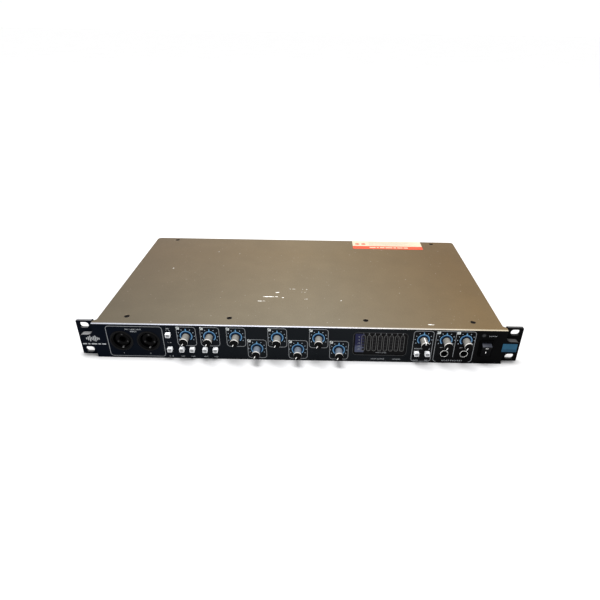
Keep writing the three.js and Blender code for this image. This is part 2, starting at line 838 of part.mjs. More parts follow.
// ---------------------------------------------------------------- boards inside
// The upright board behind the panel, with a potentiometer behind each knob and a switch behind each button.
function controlBoard() {
  const left = Math.max(...frontComboX) + comboRadius + controlBoardMargin;
  const right = lampX - 6;
  const bottom = rimThickness + 2;
  const top = fasciaTop - rimThickness - 1;
  const potFront = fasciaDepth + 0.4;
  const switchFront = buttonReach + 2.5;
  const body = [block(left, right, controlBoardY, controlBoardY + boardThickness, bottom, top)];
  for (const { x, z } of knobs())
    body.push(centredBlock(x, z, potSize, potSize, potFront, controlBoardY + 0.5));
  for (const { x, z } of buttons())
    body.push(centredBlock(x, z, buttonWidth + 1, buttonHeight + 1, switchFront, controlBoardY + 0.5));
  const roomSize = 2 * jackBodyRadius + 2;
  const jackRoom = phonesX.map((x) =>
    centredBlock(x, phonesJackZ, roomSize, roomSize, fasciaDepth, controlBoardY + 5),
  );
  return piece("control_board", boardGreen, cutAll(joinAll(body), jackRoom));
}

function mainBoard() {
  const [x0, x1] = mainBoardX;
  const [y0, y1] = [mainBoardFront, rearInside - mainBoardRearRoom];
  const top = mainBoardZ + boardThickness;
  const body = [block(x0, x1, y0, y1, mainBoardZ, top)];
  const chip = (x, y, width, depth, height) =>
    block(x - width / 2, x + width / 2, y - depth / 2, y + depth / 2, top - 0.3, top + height);
  body.push(chip(40, y0 + 70, 26, 26, 2.4));
  body.push(chip(80, y0 + 70, 18, 18, 2));
  for (let i = 0; i < 8; i++) {
    body.push(chip(-185 + i * 24, y1 - 50, 8, 6, 1.8));
    body.push(post(-185 + i * 24, y1 - 28, 3.2, top - 0.3, top + 9, 8));
  }
  for (const x of [0, 30, 60]) body.push(post(x, y0 + 26, 5, top - 0.3, top + 14, 10));
  for (const [x, y] of [
    [x0 + 8, y0 + 8],
    [x1 - 8, y0 + 8],
    [x0 + 8, y1 - 8],
    [x1 - 8, y1 - 8],
  ])
    body.push(post(x, y, 2.5, sheet + seat, mainBoardZ + 0.3, 6));
  return piece("main_board", boardGreen, joinAll(body));
}

function powerSupply() {
  const [x0, x1] = supplyX;
  const [y0, y1] = [supplyFront, rearInside - supplyRearRoom];
  const top = mainBoardZ + boardThickness;
  const body = [block(x0, x1, y0, y1, mainBoardZ, top)];
  body.push(block(x0 + 14, x0 + 50, y1 - 80, y1 - 48, top - 0.3, top + 25));
  body.push(block(x0 + 6, x0 + 10, y0 + 20, y1 - 35, top - 0.3, top + 24));
  for (const y of [y0 + 20, y1 - 18]) body.push(post(x1 - 20, y, 9, top - 0.3, top + 24, 12));
  for (const [x, y] of [
    [x0 + 5, y0 + 5],
    [x1 - 5, y0 + 5],
    [x0 + 5, y1 - 5],
    [x1 - 5, y1 - 5],
  ])
    body.push(post(x, y, 2.5, sheet + seat, mainBoardZ + 0.3, 6));
  return piece("power_supply", boardGreen, joinAll(body));
}

// The flat lead between the two boards: down from the control board, back under a bend, onto the main board.
function ribbonCable() {
  const width = 42;
  const thick = 1;
  const start = controlBoardY + boardThickness + seat;
  const end = mainBoardFront + 10;
  const low = mainBoardZ + boardThickness + seat;
  const path = [
    [start, low + 14],
    [start + 5, low + 14],
    [start + 12, low + 10],
    [end - 8, low + 4],
    [end, low + thick],
    [end, low],
    [end - 8, low + 4 - thick],
    [start + 12, low + 10 - thick],
    [start + 5, low + 14 - thick],
    [start, low + 14 - thick],
  ];
  const shape = new THREE.Shape(path.map(([y, z]) => new THREE.Vector2(y, z)));
  return piece("ribbon_cable", ribbonGrey, sidePlate(shape, ribbonX, ribbonX + width));
}

// ---------------------------------------------------------------- the whole interface
const assembly = new THREE.Group();
assembly.add(
  frontPanel(),
  topCover(),
  chassisTray(),
  coverSticker(),
  ...coverScrews(),
  ...knobs().map(knobPiece),
  ...buttons().map(buttonPiece),
  ...frontCombos(),
  ...phonesJacks(),
  ...rearCombos(),
  ...lineOutBlocks(),
  coaxJacks(),
  opticalPorts(),
  ...midiSockets(),
  dataPort(),
  mainsInlet(),
  meterWindow(),
  meterBoard(),
  powerLamp(),
  rockerHousing(),
  powerRocker(),
  controlBoard(),
  mainBoard(),
  powerSupply(),
  ribbonCable(),
);
// The origin is the middle of the whole object's box, at what it stands on.
assembly.position.y = -(knobFront + caseDepth + coaxShellProud) / 2;

const rackInterface = new THREE.Group();
rackInterface.add(assembly);
export default rackInterface;
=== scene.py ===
import json

import bmesh
import bpy
import numpy as np
from mathutils import Matrix, Vector


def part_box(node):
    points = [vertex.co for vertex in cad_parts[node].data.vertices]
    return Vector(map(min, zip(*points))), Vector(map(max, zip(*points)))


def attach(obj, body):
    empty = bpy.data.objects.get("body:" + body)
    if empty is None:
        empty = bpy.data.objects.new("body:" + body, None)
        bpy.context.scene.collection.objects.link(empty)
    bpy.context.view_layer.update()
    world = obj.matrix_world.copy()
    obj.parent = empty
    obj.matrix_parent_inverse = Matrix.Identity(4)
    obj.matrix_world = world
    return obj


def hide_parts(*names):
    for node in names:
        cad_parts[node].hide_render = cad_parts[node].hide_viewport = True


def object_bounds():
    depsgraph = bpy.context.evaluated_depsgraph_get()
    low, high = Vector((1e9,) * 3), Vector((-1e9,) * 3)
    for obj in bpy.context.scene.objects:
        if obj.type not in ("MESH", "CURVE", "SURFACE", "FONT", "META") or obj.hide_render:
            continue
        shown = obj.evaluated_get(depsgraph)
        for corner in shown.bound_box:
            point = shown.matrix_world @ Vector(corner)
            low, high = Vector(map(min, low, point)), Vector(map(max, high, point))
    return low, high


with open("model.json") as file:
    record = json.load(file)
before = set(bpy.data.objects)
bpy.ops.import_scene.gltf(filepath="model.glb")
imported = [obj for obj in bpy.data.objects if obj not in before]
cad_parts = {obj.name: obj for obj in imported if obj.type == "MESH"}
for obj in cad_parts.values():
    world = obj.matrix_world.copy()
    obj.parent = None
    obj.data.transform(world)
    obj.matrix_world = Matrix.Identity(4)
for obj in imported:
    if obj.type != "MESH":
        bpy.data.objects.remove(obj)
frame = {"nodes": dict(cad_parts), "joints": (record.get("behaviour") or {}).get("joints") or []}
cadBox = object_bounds()
nodes = frame["nodes"]
joints = {joint["child"]: joint for joint in frame["joints"]}

# all lengths below are millimetres: x along the panel, y back from the panel's face, z up from the floor
panelLow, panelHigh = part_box("front_panel")
panelY = panelLow.y * 1000
panelHeight = panelHigh.z * 1000
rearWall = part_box("chassis_tray")[1].y * 1000 - panelY
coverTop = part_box("top_cover")[1].z * 1000
printDepth = 0.07  # thickness of everything printed


# centre of a node's box, across and up
def nodeCentre(name):
    low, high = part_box(name)
    middle = (low + high) * 500
    return middle.x, middle.z


# width and height of a node's box
def faceSize(name):
    low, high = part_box(name)
    return (high.x - low.x) * 1000, (high.z - low.z) * 1000


# front and rear of a node's box, from the panel's face
def depthOf(name):
    low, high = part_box(name)
    return low.y * 1000 - panelY, high.y * 1000 - panelY


# where a turning part's axis meets the panel
def axisOf(name):
    place = joints[name]["pos_m"]
    return place[0] * 1000, place[2] * 1000


# names of the nodes that hold a word, in order
def nodesWith(word):
    return sorted(name for name in nodes if word in name)


# every finish has its own colour drift, roughness drift and fine relief
finishes = {}


def addNode(tree, kind, **settings):
    node = tree.nodes.new(kind)
    for key, value in settings.items():
        setattr(node, key, value)
    return node


# noise with so many cells per metre
def noiseFrom(tree, vector, scale, detail=3.0):
    noise = addNode(tree, "ShaderNodeTexNoise")
    noise.inputs["Scale"].default_value = scale
    noise.inputs["Detail"].default_value = detail
    tree.links.new(vector, noise.inputs["Vector"])
    return noise.outputs["Fac"]


# a value carried from one range onto another and held at its ends
def rangeOf(tree, value, low, high, fromLow=0.3, fromHigh=0.7):
    mapped = addNode(tree, "ShaderNodeMapRange")
    mapped.inputs["From Min"].default_value = fromLow
    mapped.inputs["From Max"].default_value = fromHigh
    mapped.inputs["To Min"].default_value = low
    mapped.inputs["To Max"].default_value = high
    tree.links.new(value, mapped.inputs["Value"])
    return mapped.outputs["Result"]


# the X, Y and Z parts of a vector, each as an output
def axesOf(tree, vector):
    parted = addNode(tree, "ShaderNodeSeparateXYZ")
    tree.links.new(vector, parted.inputs["Vector"])
    return parted.outputs


# which way the surface faces, split into X, Y and Z
def facingOf(tree):
    return axesOf(tree, addNode(tree, "ShaderNodeNewGeometry").outputs["Normal"])


def multiplied(tree, first, second):
    product = addNode(tree, "ShaderNodeMath", operation="MULTIPLY")
    tree.links.new(first, product.inputs[0])
    tree.links.new(second, product.inputs[1])
    return product.outputs[0]


def mixColours(tree, factor, first, second, blend="MIX"):
    mix = addNode(tree, "ShaderNodeMix", data_type="RGBA", blend_type=blend)
    tree.links.new(factor, mix.inputs["Factor"])
    for socket, value in ((mix.inputs[6], first), (mix.inputs[7], second)):
        if isinstance(value, tuple):
            socket.default_value = (*value, 1)
        else:
            tree.links.new(value, socket)
    return mix.outputs[2]


# drift: share by which the colour wanders; driftScale and grainScale: noise cells per metre; relief: metres;
# it gives back what a finish of its own goes on with: the tree, the shader, the place and the drifted colour
def makeFinish(name, colour, roughness, metallic=0.0, drift=0.15, driftScale=60, grainScale=2500,
               relief=0.00002, strength=0.3, specular=0.5, coat=0.0, stretch=(1, 1, 1)):
    material = bpy.data.materials.new(name)
    material.use_nodes = True
    tree = material.node_tree
    shader = tree.nodes["Principled BSDF"]
    place = addNode(tree, "ShaderNodeTexCoord").outputs["Object"]
    mapping = addNode(tree, "ShaderNodeMapping")
    mapping.inputs["Scale"].default_value = stretch
    tree.links.new(place, mapping.inputs["Vector"])
    vector = mapping.outputs["Vector"]
    wide = noiseFrom(tree, vector, driftScale)
    fine = noiseFrom(tree, vector, grainScale, 2.0)
    dark = tuple(c * (1 - drift) for c in colour)
    light = tuple(min(1, c * (1 + drift)) for c in colour)
    colourOut = mixColours(tree, rangeOf(tree, wide, 0, 1), dark, light)
    tree.links.new(colourOut, shader.inputs["Base Color"])
    uneven = 0.06  # roughness wanders this far either way
    roughOut = rangeOf(tree, fine, max(0.02, roughness - uneven), min(1, roughness + uneven))
    tree.links.new(roughOut, shader.inputs["Roughness"])
    bump = addNode(tree, "ShaderNodeBump")
    bump.inputs["Strength"].default_value = strength
    bump.inputs["Distance"].default_value = relief
    tree.links.new(fine, bump.inputs["Height"])
    tree.links.new(bump.outputs["Normal"], shader.inputs["Normal"])
    shader.inputs["Metallic"].default_value = metallic
    shader.inputs["Specular IOR Level"].default_value = specular
    shader.inputs["Coat Weight"].default_value = coat
    shader.inputs["Coat Roughness"].default_value = 0.08
    finishes[name] = material
    return tree, shader, vector, colourOut


# the case: textured metallic paint with small rubbed spots; painted light makes it greyer and darker at the
# left, warmer at the right and tinted at the rear, and a painted highlight runs along the rolled front edge
def makeCasePaint():
    look = {"shadedLeft": (0.08, 0.064, 0.041), "plain": (0.153, 0.127, 0.086), "warmLitRight": (0.122, 0.08, 0.034),
            "rearLightLeft": (1.08, 0.93, 0.76), "rearLightRight": (0.82, 0.74, 0.56), "rearStart": -0.1,
            "rearEnd": 0.07, "lipHighlight": (0.34, 0.35, 0.4), "lipHighlightWarm": (0.42, 0.37, 0.28),
            "roughness": 0.42, "wearAndPaintedLight": (0.5, 0.46, 0.4), "speckScale": 420, "speckShare": 0.775,
            "grainScale": 1400, "cloudScale": 34, "frontEdge": cadBox[0].y + 0.019}
    tree, shader, vector, _ = makeFinish(
        "casePaint", look["plain"], look["roughness"], metallic=0.5, drift=0.07,
        driftScale=look["grainScale"], grainScale=2600, relief=0.00005, strength=0.35, specular=0.2)
    place = axesOf(tree, vector)
    grain = multiplied(tree, rangeOf(tree, noiseFrom(tree, vector, look["grainScale"]), 0.88, 1.12),
                       rangeOf(tree, noiseFrom(tree, vector, look["cloudScale"], 5.0), 0.95, 1.05))
    # painted light: darker grey at the left, warmer brown at the right, and a tint towards the rear
    paint = mixColours(tree, rangeOf(tree, place["X"], 0, 1, -0.23, -0.02), look["shadedLeft"], look["plain"])
    paint = mixColours(tree, rangeOf(tree, place["X"], 0, 1, 0.03, 0.2), paint, look["warmLitRight"])
    rear = mixColours(tree, rangeOf(tree, place["X"], 0, 1, -0.2, 0.2), look["rearLightLeft"], look["rearLightRight"])
    backward = rangeOf(tree, place["Y"], 0, 1, look["rearStart"], look["rearEnd"])
    paint = mixColours(tree, backward, paint, rear, "MULTIPLY")
    # painted highlight: the rolled front edge is made bright where it leans forward, where it catches the
    # light from above
    lipHighlightMask = multiplied(tree, rangeOf(tree, facingOf(tree)["Y"], 1, 0, -0.4, -0.08),
                        rangeOf(tree, place["Y"], 1, 0, look["frontEdge"], look["frontEdge"] + 0.001))
    bright = mixColours(tree, rangeOf(tree, place["X"], 0, 1, 0.02, 0.2), look["lipHighlight"],
                        look["lipHighlightWarm"])
    paint = mixColours(tree, lipHighlightMask, paint, bright)
    scaled = addNode(tree, "ShaderNodeVectorMath", operation="SCALE")
    tree.links.new(paint, scaled.inputs[0])
    tree.links.new(grain, scaled.inputs["Scale"])
    specks = noiseFrom(tree, vector, look["speckScale"], 1.0)
    wearAndPaintedLight = rangeOf(tree, specks, 0, 0.5, look["speckShare"], look["speckShare"] + 0.02)
    tree.links.new(mixColours(tree, wearAndPaintedLight, scaled.outputs["Vector"], look["wearAndPaintedLight"]),
                   shader.inputs["Base Color"])


# the panel: satin black powder coat, a little lighter where it has been handled; painted shade makes it
# darker and bluer at the left and darker at the right
def makePanelPaint():
    look = {"shadedLeft": (0.0012, 0.0024, 0.0058), "plain": (0.0078, 0.0092, 0.0108),
            "black": (0.0018, 0.0018, 0.0019), "handled": (0.0112, 0.0122, 0.0132), "handledScale": 9,
            "upwardHighlight": (0.16, 0.16, 0.165), "faintUpwardHighlight": (0.05, 0.05, 0.05), "earStart": 0.2235}
    tree, shader, vector, _ = makeFinish(
        "panelPaint", look["shadedLeft"], 0.42, drift=0.15, driftScale=30, grainScale=3200,
        relief=0.00004, strength=0.25, specular=0.012)
    place = axesOf(tree, vector)
    # painted shade: darker and bluer towards the left end, darker towards the right end
    paint = mixColours(tree, rangeOf(tree, place["X"], 0, 1, -0.21, -0.04), look["shadedLeft"], look["plain"])
    paint = mixColours(tree, rangeOf(tree, place["X"], 0, 1, 0.09, 0.17), paint, look["black"])
    handled = rangeOf(tree, noiseFrom(tree, vector, look["handledScale"], 4.0), 0, 0.3, 0.5, 0.75)
    paint = mixColours(tree, handled, paint, look["handled"])
    # painted highlight: the ears' upward faces are made lighter, most at the left, where they catch the light
    # from above
    outward = addNode(tree, "ShaderNodeMath", operation="ABSOLUTE")
    tree.links.new(place["X"], outward.inputs[0])
    upwardHighlightMask = multiplied(tree, rangeOf(tree, facingOf(tree)["Z"], 0, 1, 0.6, 0.98),
                       rangeOf(tree, outward.outputs[0], 0, 1, look["earStart"], look["earStart"] + 0.001))
    upwardHighlight = mixColours(tree, rangeOf(tree, place["X"], 0, 1, -0.1, 0.1), look["upwardHighlight"], look["faintUpwardHighlight"])
    tree.links.new(mixColours(tree, upwardHighlightMask, paint, upwardHighlight), shader.inputs["Base Color"])


# circuit board: green mask with tracks seen as a fine lighter brick pattern
def makeBoardMask():
    look = {"mask": (0.012, 0.07, 0.03), "track": (0.03, 0.15, 0.07), "trackScale": 260, "trackWidth": 0.08}
    tree, shader, vector, mask = makeFinish(
        "boardMask", look["mask"], 0.38, drift=0.2, driftScale=300, grainScale=1500, coat=0.3)
    tracks = addNode(tree, "ShaderNodeTexBrick")
    tracks.inputs["Scale"].default_value = look["trackScale"]
    tracks.inputs["Mortar Size"].default_value = look["trackWidth"]
    tree.links.new(vector, tracks.inputs["Vector"])
    tree.links.new(mixColours(tree, tracks.outputs["Fac"], mask, look["track"]), shader.inputs["Base Color"])


# the meter's scale strip: deep blue that turns to slate near its foot
def makeSlateStrip():
    look = {"deep": (0.006, 0.007, 0.034), "foot": (0.05, 0.058, 0.1), "footTop": 0.0185, "deepStart": 0.0225}
    tree, shader, vector, slate = makeFinish(
        "slateGloss", look["foot"], 0.28, drift=0.2, driftScale=300, specular=0.12)
    share = rangeOf(tree, axesOf(tree, vector)["Z"], 0, 1, look["footTop"], look["deepStart"])
    tree.links.new(mixColours(tree, share, slate, look["deep"]), shader.inputs["Base Color"])


# floor: white paper with painted shade, darker near the object, where it holds down the lamp's pool of light
# so that soft shadows stay visible
def makeFloorPaper():
    look = {"far": (0.97, 0.97, 0.97), "near": (0.56, 0.56, 0.565), "nearEnd": 0.25, "farStart": 2.0}
    tree, shader, vector, paper = makeFinish(
        "floorPaper", look["far"], 0.8, drift=0.01, driftScale=3, grainScale=900, specular=0.1)
    away = addNode(tree, "ShaderNodeVectorMath", operation="LENGTH")
    tree.links.new(vector, away.inputs[0])
    share = rangeOf(tree, away.outputs["Value"], 0, 1, look["nearEnd"], look["farStart"])
    tree.links.new(mixColours(tree, share, look["near"], paper), shader.inputs["Base Color"])


makeCasePaint()
makePanelPaint()
makeBoardMask()
makeFinish("blackPlastic", (0.004, 0.004, 0.0045), 0.4, drift=0.2, specular=0.15)
makeFinish("socketBlack", (0.0012, 0.0012, 0.0014), 0.34, drift=0.2, specular=0.035, relief=0.00001)
makeFinish("socketRim", (0.0015, 0.0015, 0.0018), 0.3, drift=0.2, specular=0.07, relief=0.00001)
makeFinish("dullContact", (0.005, 0.0045, 0.004), 0.45, drift=0.2, driftScale=600, specular=0.1)
makeFinish("dullSteel", (0.22, 0.22, 0.22), 0.4, metallic=0.5, drift=0.2, driftScale=600)
makeFinish("knobGrip", (0.15, 0.145, 0.132), 0.44, drift=0.12, driftScale=240, grainScale=4200,
           relief=0.00004, strength=0.4, specular=0.4)
# painted highlight for the band before the knobs' rolled edge, and a painted bluish reflection for the lower
# row's grips
makeFinish("knobEdge", (0.5, 0.49, 0.47), 0.36, drift=0.1, driftScale=240, grainScale=4200,
           relief=0.00003, strength=0.3, specular=0.4)
makeFinish("knobGripLow", (0.115, 0.135, 0.165), 0.44, drift=0.12, driftScale=240, grainScale=4200,
           relief=0.00004, strength=0.4, specular=0.4)
makeFinish("knobFace", (0.0022, 0.0022, 0.0024), 0.45, drift=0.15, driftScale=300, specular=0.03)
makeFinish("whiteMark", (0.82, 0.82, 0.8), 0.45, drift=0.05, driftScale=500)
# painted shade: the buttons' trough and, below, their rim are greyer than the white plastic
makeFinish("buttonHollow", (0.2, 0.205, 0.21), 0.4, drift=0.15, driftScale=500, grainScale=3600,
           relief=0.00002)
makeFinish("buttonPlastic", (0.86, 0.88, 0.9), 0.34, drift=0.05, driftScale=200, grainScale=3600,
           relief=0.00002, coat=0.25)
makeFinish("buttonRim", (0.5, 0.51, 0.53), 0.36, drift=0.08, driftScale=200, grainScale=3600, coat=0.2)
makeFinish("greyPrint", (0.2, 0.21, 0.22), 0.6, drift=0.18, driftScale=700, specular=0.3)
makeFinish("whitePrint", (0.33, 0.345, 0.36), 0.6, drift=0.18, driftScale=900, specular=0.3)
makeFinish("lightBluePrint", (0.125, 0.3, 0.5), 0.55, drift=0.2, driftScale=500, specular=0.3)
makeFinish("deepBluePrint", (0.006, 0.036, 0.1), 0.55, drift=0.15, driftScale=400, specular=0.1)
makeFinish("tickPrint", (0.34, 0.4, 0.46), 0.6, drift=0.25, driftScale=900, specular=0.3)
# painted shade: dark discs that close the contact holes
makeFinish("darkInk", (0.01, 0.01, 0.012), 0.6, drift=0.2, driftScale=900)
makeFinish("tagInk", (0.03, 0.035, 0.04), 0.6, drift=0.2, driftScale=900)
makeFinish("smokedGloss", (0.0008, 0.0008, 0.001), 0.12, drift=0.2, driftScale=40, relief=0.00001,
           strength=0.05, specular=0.06)
makeSlateStrip()
makeFinish("ledLens", (0.005, 0.005, 0.0055), 0.25, drift=0.3, driftScale=700, specular=0.12)
makeFinish("columnSmoke", (0.0022, 0.0022, 0.0026), 0.3, drift=0.3, driftScale=300, specular=0.04)
makeFinish("nickel", (0.8, 0.8, 0.78), 0.2, metallic=1.0, drift=0.08, driftScale=300, grainScale=2000)
makeFinish("brass", (0.7, 0.5, 0.2), 0.3, metallic=1.0, drift=0.1, driftScale=300)
makeFinish("blackSteel", (0.0035, 0.0025, 0.002), 0.5, drift=0.25, driftScale=500, specular=0.06)
makeFinish("lampLens", (0.003, 0.004, 0.005), 0.1, drift=0.2, driftScale=600, specular=0.35)
makeFinish("badgeBlue", (0.014, 0.072, 0.128), 0.42, drift=0.1, driftScale=120, specular=0.1)
makeFinish("silverPrint", (0.32, 0.33, 0.34), 0.35, metallic=0.5, drift=0.1, driftScale=500)
makeFinish("labelWhite", (0.45, 0.39, 0.29), 0.5, drift=0.04, driftScale=60, specular=0.2)
makeFinish("labelRed", (0.52, 0.055, 0.02), 0.45, drift=0.08, driftScale=80, specular=0.2)
makeFinish("labelGrey", (0.3, 0.27, 0.22), 0.55, drift=0.1, driftScale=300, specular=0.2)
makeFinish("ribbonGrey", (0.34, 0.35, 0.37), 0.6, drift=0.15, driftScale=900, stretch=(1, 0.05, 0.05))
makeFinish("orangePlastic", (0.55, 0.13, 0.015), 0.4, drift=0.08, driftScale=400)
makeFloorPaper()
print("finishes made:", len(finishes))


# circle: points at even angles, counter-clockwise seen from the front, in (x, z)
def circle(radius, sides=48):
    angle = np.arange(sides) * 2 * np.pi / sides
    return np.stack([radius * np.cos(angle), radius * np.sin(angle)], -1)


# rounded rectangle: four quarter circles of one radius joined by straight runs, in (x, z)
def roundedLoop(width, height, radius, steps=6):
    radius = max(0.01, min(radius, width / 2 - 0.01, height / 2 - 0.01))
    angle = np.linspace(0, np.pi / 2, steps + 1) + np.arange(4)[:, None] * np.pi / 2
    centreX = np.array([1, -1, -1, 1])[:, None] * (width / 2 - radius)
    centreZ = np.array([1, 1, -1, -1])[:, None] * (height / 2 - radius)
    loop = np.stack([centreX + radius * np.cos(angle), centreZ + radius * np.sin(angle)], -1)
    return loop.reshape(-1, 2)


# a loop in (x, z) set at depth y, which may be one number or one for each point
def atDepth(loop, y):
    depth = np.broadcast_to(np.asarray(y, float), loop.shape[:1])
    return np.stack([loop[:, 0], depth, loop[:, 1]], -1)


# loft: one closed loop after another, joined by four-sided faces; the ends get flat caps unless it closes
def loft(loops, closed=False):
    rings = np.asarray(loops, float)
    count, size = rings.shape[:2]
    index = np.arange(count * size).reshape(count, size)
    first, second = (index, np.roll(index, -1, 0)) if closed else (index[:-1], index[1:])
    quads = np.stack([first, np.roll(first, -1, 1), np.roll(second, -1, 1), second], -1).reshape(-1, 4)
    faces = quads.tolist()
    if not closed:
        faces += [index[0][::-1].tolist(), index[-1].tolist()]
    return rings.reshape(-1, 3), faces


# turned piece: a profile of (radius, y) from the back axis to the front axis, carried round the Y axis
def turned(profile, sides=48):
    return loft([atDepth(circle(radius, sides), y) for radius, y in profile])


# turned ring: a profile that closes on itself, carried round the Y axis
def turnedRing(profile, sides=48):
    return loft([atDepth(circle(radius, sides), y) for radius, y in profile], closed=True)


# boxed piece: a profile of (inset, y) from back to front, carried round a rounded rectangle
def boxed(width, height, radius, profile, steps=6):
    return loft([atDepth(roundedLoop(width - 2 * inset, height - 2 * inset, radius - inset, steps), y)
                 for inset, y in profile])


# boxed frame: the same with a profile that closes on itself
def boxedFrame(width, height, radius, profile, steps=6):
    return loft([atDepth(roundedLoop(width - 2 * inset, height - 2 * inset, radius - inset, steps), y)
                 for inset, y in profile], closed=True)


# printed line round a rounded rectangle: a flat band as thick as the print
def printedFrame(width, height, radius, line, steps=6):
    return boxedFrame(width, height, radius, [(0, 0), (0, -printDepth), (line, -printDepth), (line, 0)],
                      steps)


# printed arc: a flat rectangle carried round the centre, angles clockwise from twelve o'clock
def printedArc(inner, outer, start, end, steps=40):
    angle = np.radians(np.linspace(start, end, steps + 1))[:, None]
    radius = np.array([outer, inner, inner, outer])
    depth = np.broadcast_to(np.array([-printDepth, -printDepth, 0, 0]), (steps + 1, 4))
    return loft(np.stack([radius * np.sin(angle), depth, radius * np.cos(angle)], -1))


# printed strokes: small rectangles, each standing on a ray at its own angle, from one radius to another
def printedRays(angles, inner, outer, width):
    parts = []
    for angle in np.radians(angles):
        loop = np.array([[width / 2, inner], [width / 2, outer], [-width / 2, outer], [-width / 2, inner]])
        across = loop[:, 0] * np.cos(angle) + loop[:, 1] * np.sin(angle)
        up = loop[:, 1] * np.cos(angle) - loop[:, 0] * np.sin(angle)
        flat = np.stack([across, up], -1)
        parts.append(loft([atDepth(flat, 0), atDepth(flat, -printDepth)]))
    return parts


# printed plate: a thin flat block, its middle at the origin
def printedPlate(width, height, radius, steps=4):
    return boxed(width, height, radius, [(0, 0), (0, -printDepth)], steps)


# a flat outline in (x, y) raised from one height to another
def flatSlab(outline, bottom, top):
    return loft([np.stack([outline[:, 0], outline[:, 1], np.full(len(outline), z)], -1)
                 for z in (bottom, top)])


# a part shifted as it stands
def moved(part, x=0.0, y=0.0, z=0.0):
    points, faces = part
    return points + np.array([x, y, z]), faces


# turned about the Y axis, clockwise seen from the front, by an angle in degrees
def spun(part, degrees):
    points, faces = part
    angle = np.radians(degrees)
    across = points[:, 0] * np.cos(angle) + points[:, 2] * np.sin(angle)
    up = points[:, 2] * np.cos(angle) - points[:, 0] * np.sin(angle)
    return np.stack([across, points[:, 1], up], -1), faces


# half a turn about the Z axis, for what faces the rear
def reversedPart(part):
    points, faces = part
    return points * np.array([-1, -1, 1]), faces


# parts with their finishes, set at a place on the panel
def onPanel(parts, x, z):
    return [(moved(part, x, 0, z), finish) for part, finish in parts]


# parts built facing forward, turned to face the rear and set at a place on the rear wall
def onRearWall(parts, x, z):
    return [(moved(reversedPart(part), x, rearWall, z), finish) for part, finish in parts]


# lettering from the built-in typeface, standing in the (x, z) plane, its middle at the origin
def lettering(text, height, thick=printDepth, spread=1.0):
    curve = bpy.data.curves.new("words", "FONT")
    curve.body = text
    curve.size = height * 1.4  # the typeface's capitals are 1/1.4 of its size
    curve.extrude = thick / 2
    curve.resolution_u = 2
    curve.space_character = spread
    holder = bpy.data.objects.new("words", curve)
    bpy.context.scene.collection.objects.link(holder)
    bpy.context.view_layer.update()
    mesh = bpy.data.meshes.new_from_object(holder.evaluated_get(bpy.context.evaluated_depsgraph_get()))
    # corners that share a place are joined, so that fronts, sides and backs close on one another
    solid = bmesh.new()
    solid.from_mesh(mesh)
    bmesh.ops.remove_doubles(solid, verts=solid.verts, dist=0.0005)
    bmesh.ops.recalc_face_normals(solid, faces=solid.faces)
    solid.to_mesh(mesh)
    solid.free()
    flat = np.zeros(len(mesh.vertices) * 3)
    mesh.vertices.foreach_get("co", flat)
    flat = flat.reshape(-1, 3)
    faces = [list(face.vertices) for face in mesh.polygons]
    bpy.data.objects.remove(holder)
    bpy.data.curves.remove(curve)
    bpy.data.meshes.remove(mesh)
    middle = (flat.min(0) + flat.max(0)) / 2
    flat = flat - middle
    return np.stack([flat[:, 0], -flat[:, 2] - thick / 2, flat[:, 1]], -1), faces


# the finish of every face of a lofted part whose loops wear the given finishes, one for each run between
# loops
def finishRuns(loops, runs):
    size = len(loops[0])
    return [finish for finish in runs for _ in range(size)] + [runs[0], runs[-1]]


# puts parts of (points, faces) with their finishes into one mesh and lets it ride on a body; a part's finish
# is one name, or one for every face
def makePiece(name, parts, body="case", replaced=(), sharp=32):
    names = list(dict.fromkeys(one for _, finish in parts
                               for one in ([finish] if isinstance(finish, str) else finish)))
    points, faces, slots, start = [], [], [], 0
    for (partPoints, partFaces), finish in parts:
        points.append(partPoints)
        faces += [[corner + start for corner in face] for face in partFaces]
        slots += [names.index(one)
                  for one in ([finish] * len(partFaces) if isinstance(finish, str) else finish)]
        start += len(partPoints)
    world = (np.concatenate(points) + np.array([0, panelY, 0])) / 1000
    mesh = bpy.data.meshes.new(name)
    mesh.from_pydata(world.tolist(), [], faces)
    mesh.polygons.foreach_set("material_index", slots)
    for finish in names:
        mesh.materials.append(finishes[finish])
    mesh.shade_smooth()
    mesh.set_sharp_from_angle(angle=np.radians(sharp))
    piece = bpy.data.objects.new(name, mesh)
    bpy.context.scene.collection.objects.link(piece)
    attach(piece, body)
    if replaced:
        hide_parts(*replaced)
    return piece


# carried-over sheet metal and boards: same shape, welded, with softened edges and real finishes
def dressNode(name, finish, edge=0.0):
    node = nodes[name]
    node.data.materials.clear()
    node.data.materials.append(finishes[finish])
    if edge:
        weld = node.modifiers.new("weld", "WELD")
        weld.merge_threshold = 0.000002
        plain = node.modifiers.new("plain", "DECIMATE")  # joins the triangles of each flat face
        plain.decimate_type = "DISSOLVE"
        plain.angle_limit = np.radians(0.5)
        rounding = node.modifiers.new("rounding", "BEVEL")
        rounding.width = edge / 1000
        rounding.segments = 2
        rounding.limit_method = "ANGLE"
        rounding.angle_limit = np.radians(35)
        rounding.use_clamp_overlap = True


edges = {"panel": 0.3, "cover": 0.2, "tray": 0.25}
dressNode("front_panel", "panelPaint", edges["panel"])
dressNode("top_cover", "casePaint", edges["cover"])
dressNode("chassis_tray", "casePaint", edges["tray"])
for board in ("control_board", "main_board", "power_supply", "meter_board"):
    dressNode(board, "boardMask")
dressNode("ribbon_cable", "ribbonGrey")
print("sheet metal and boards dressed")


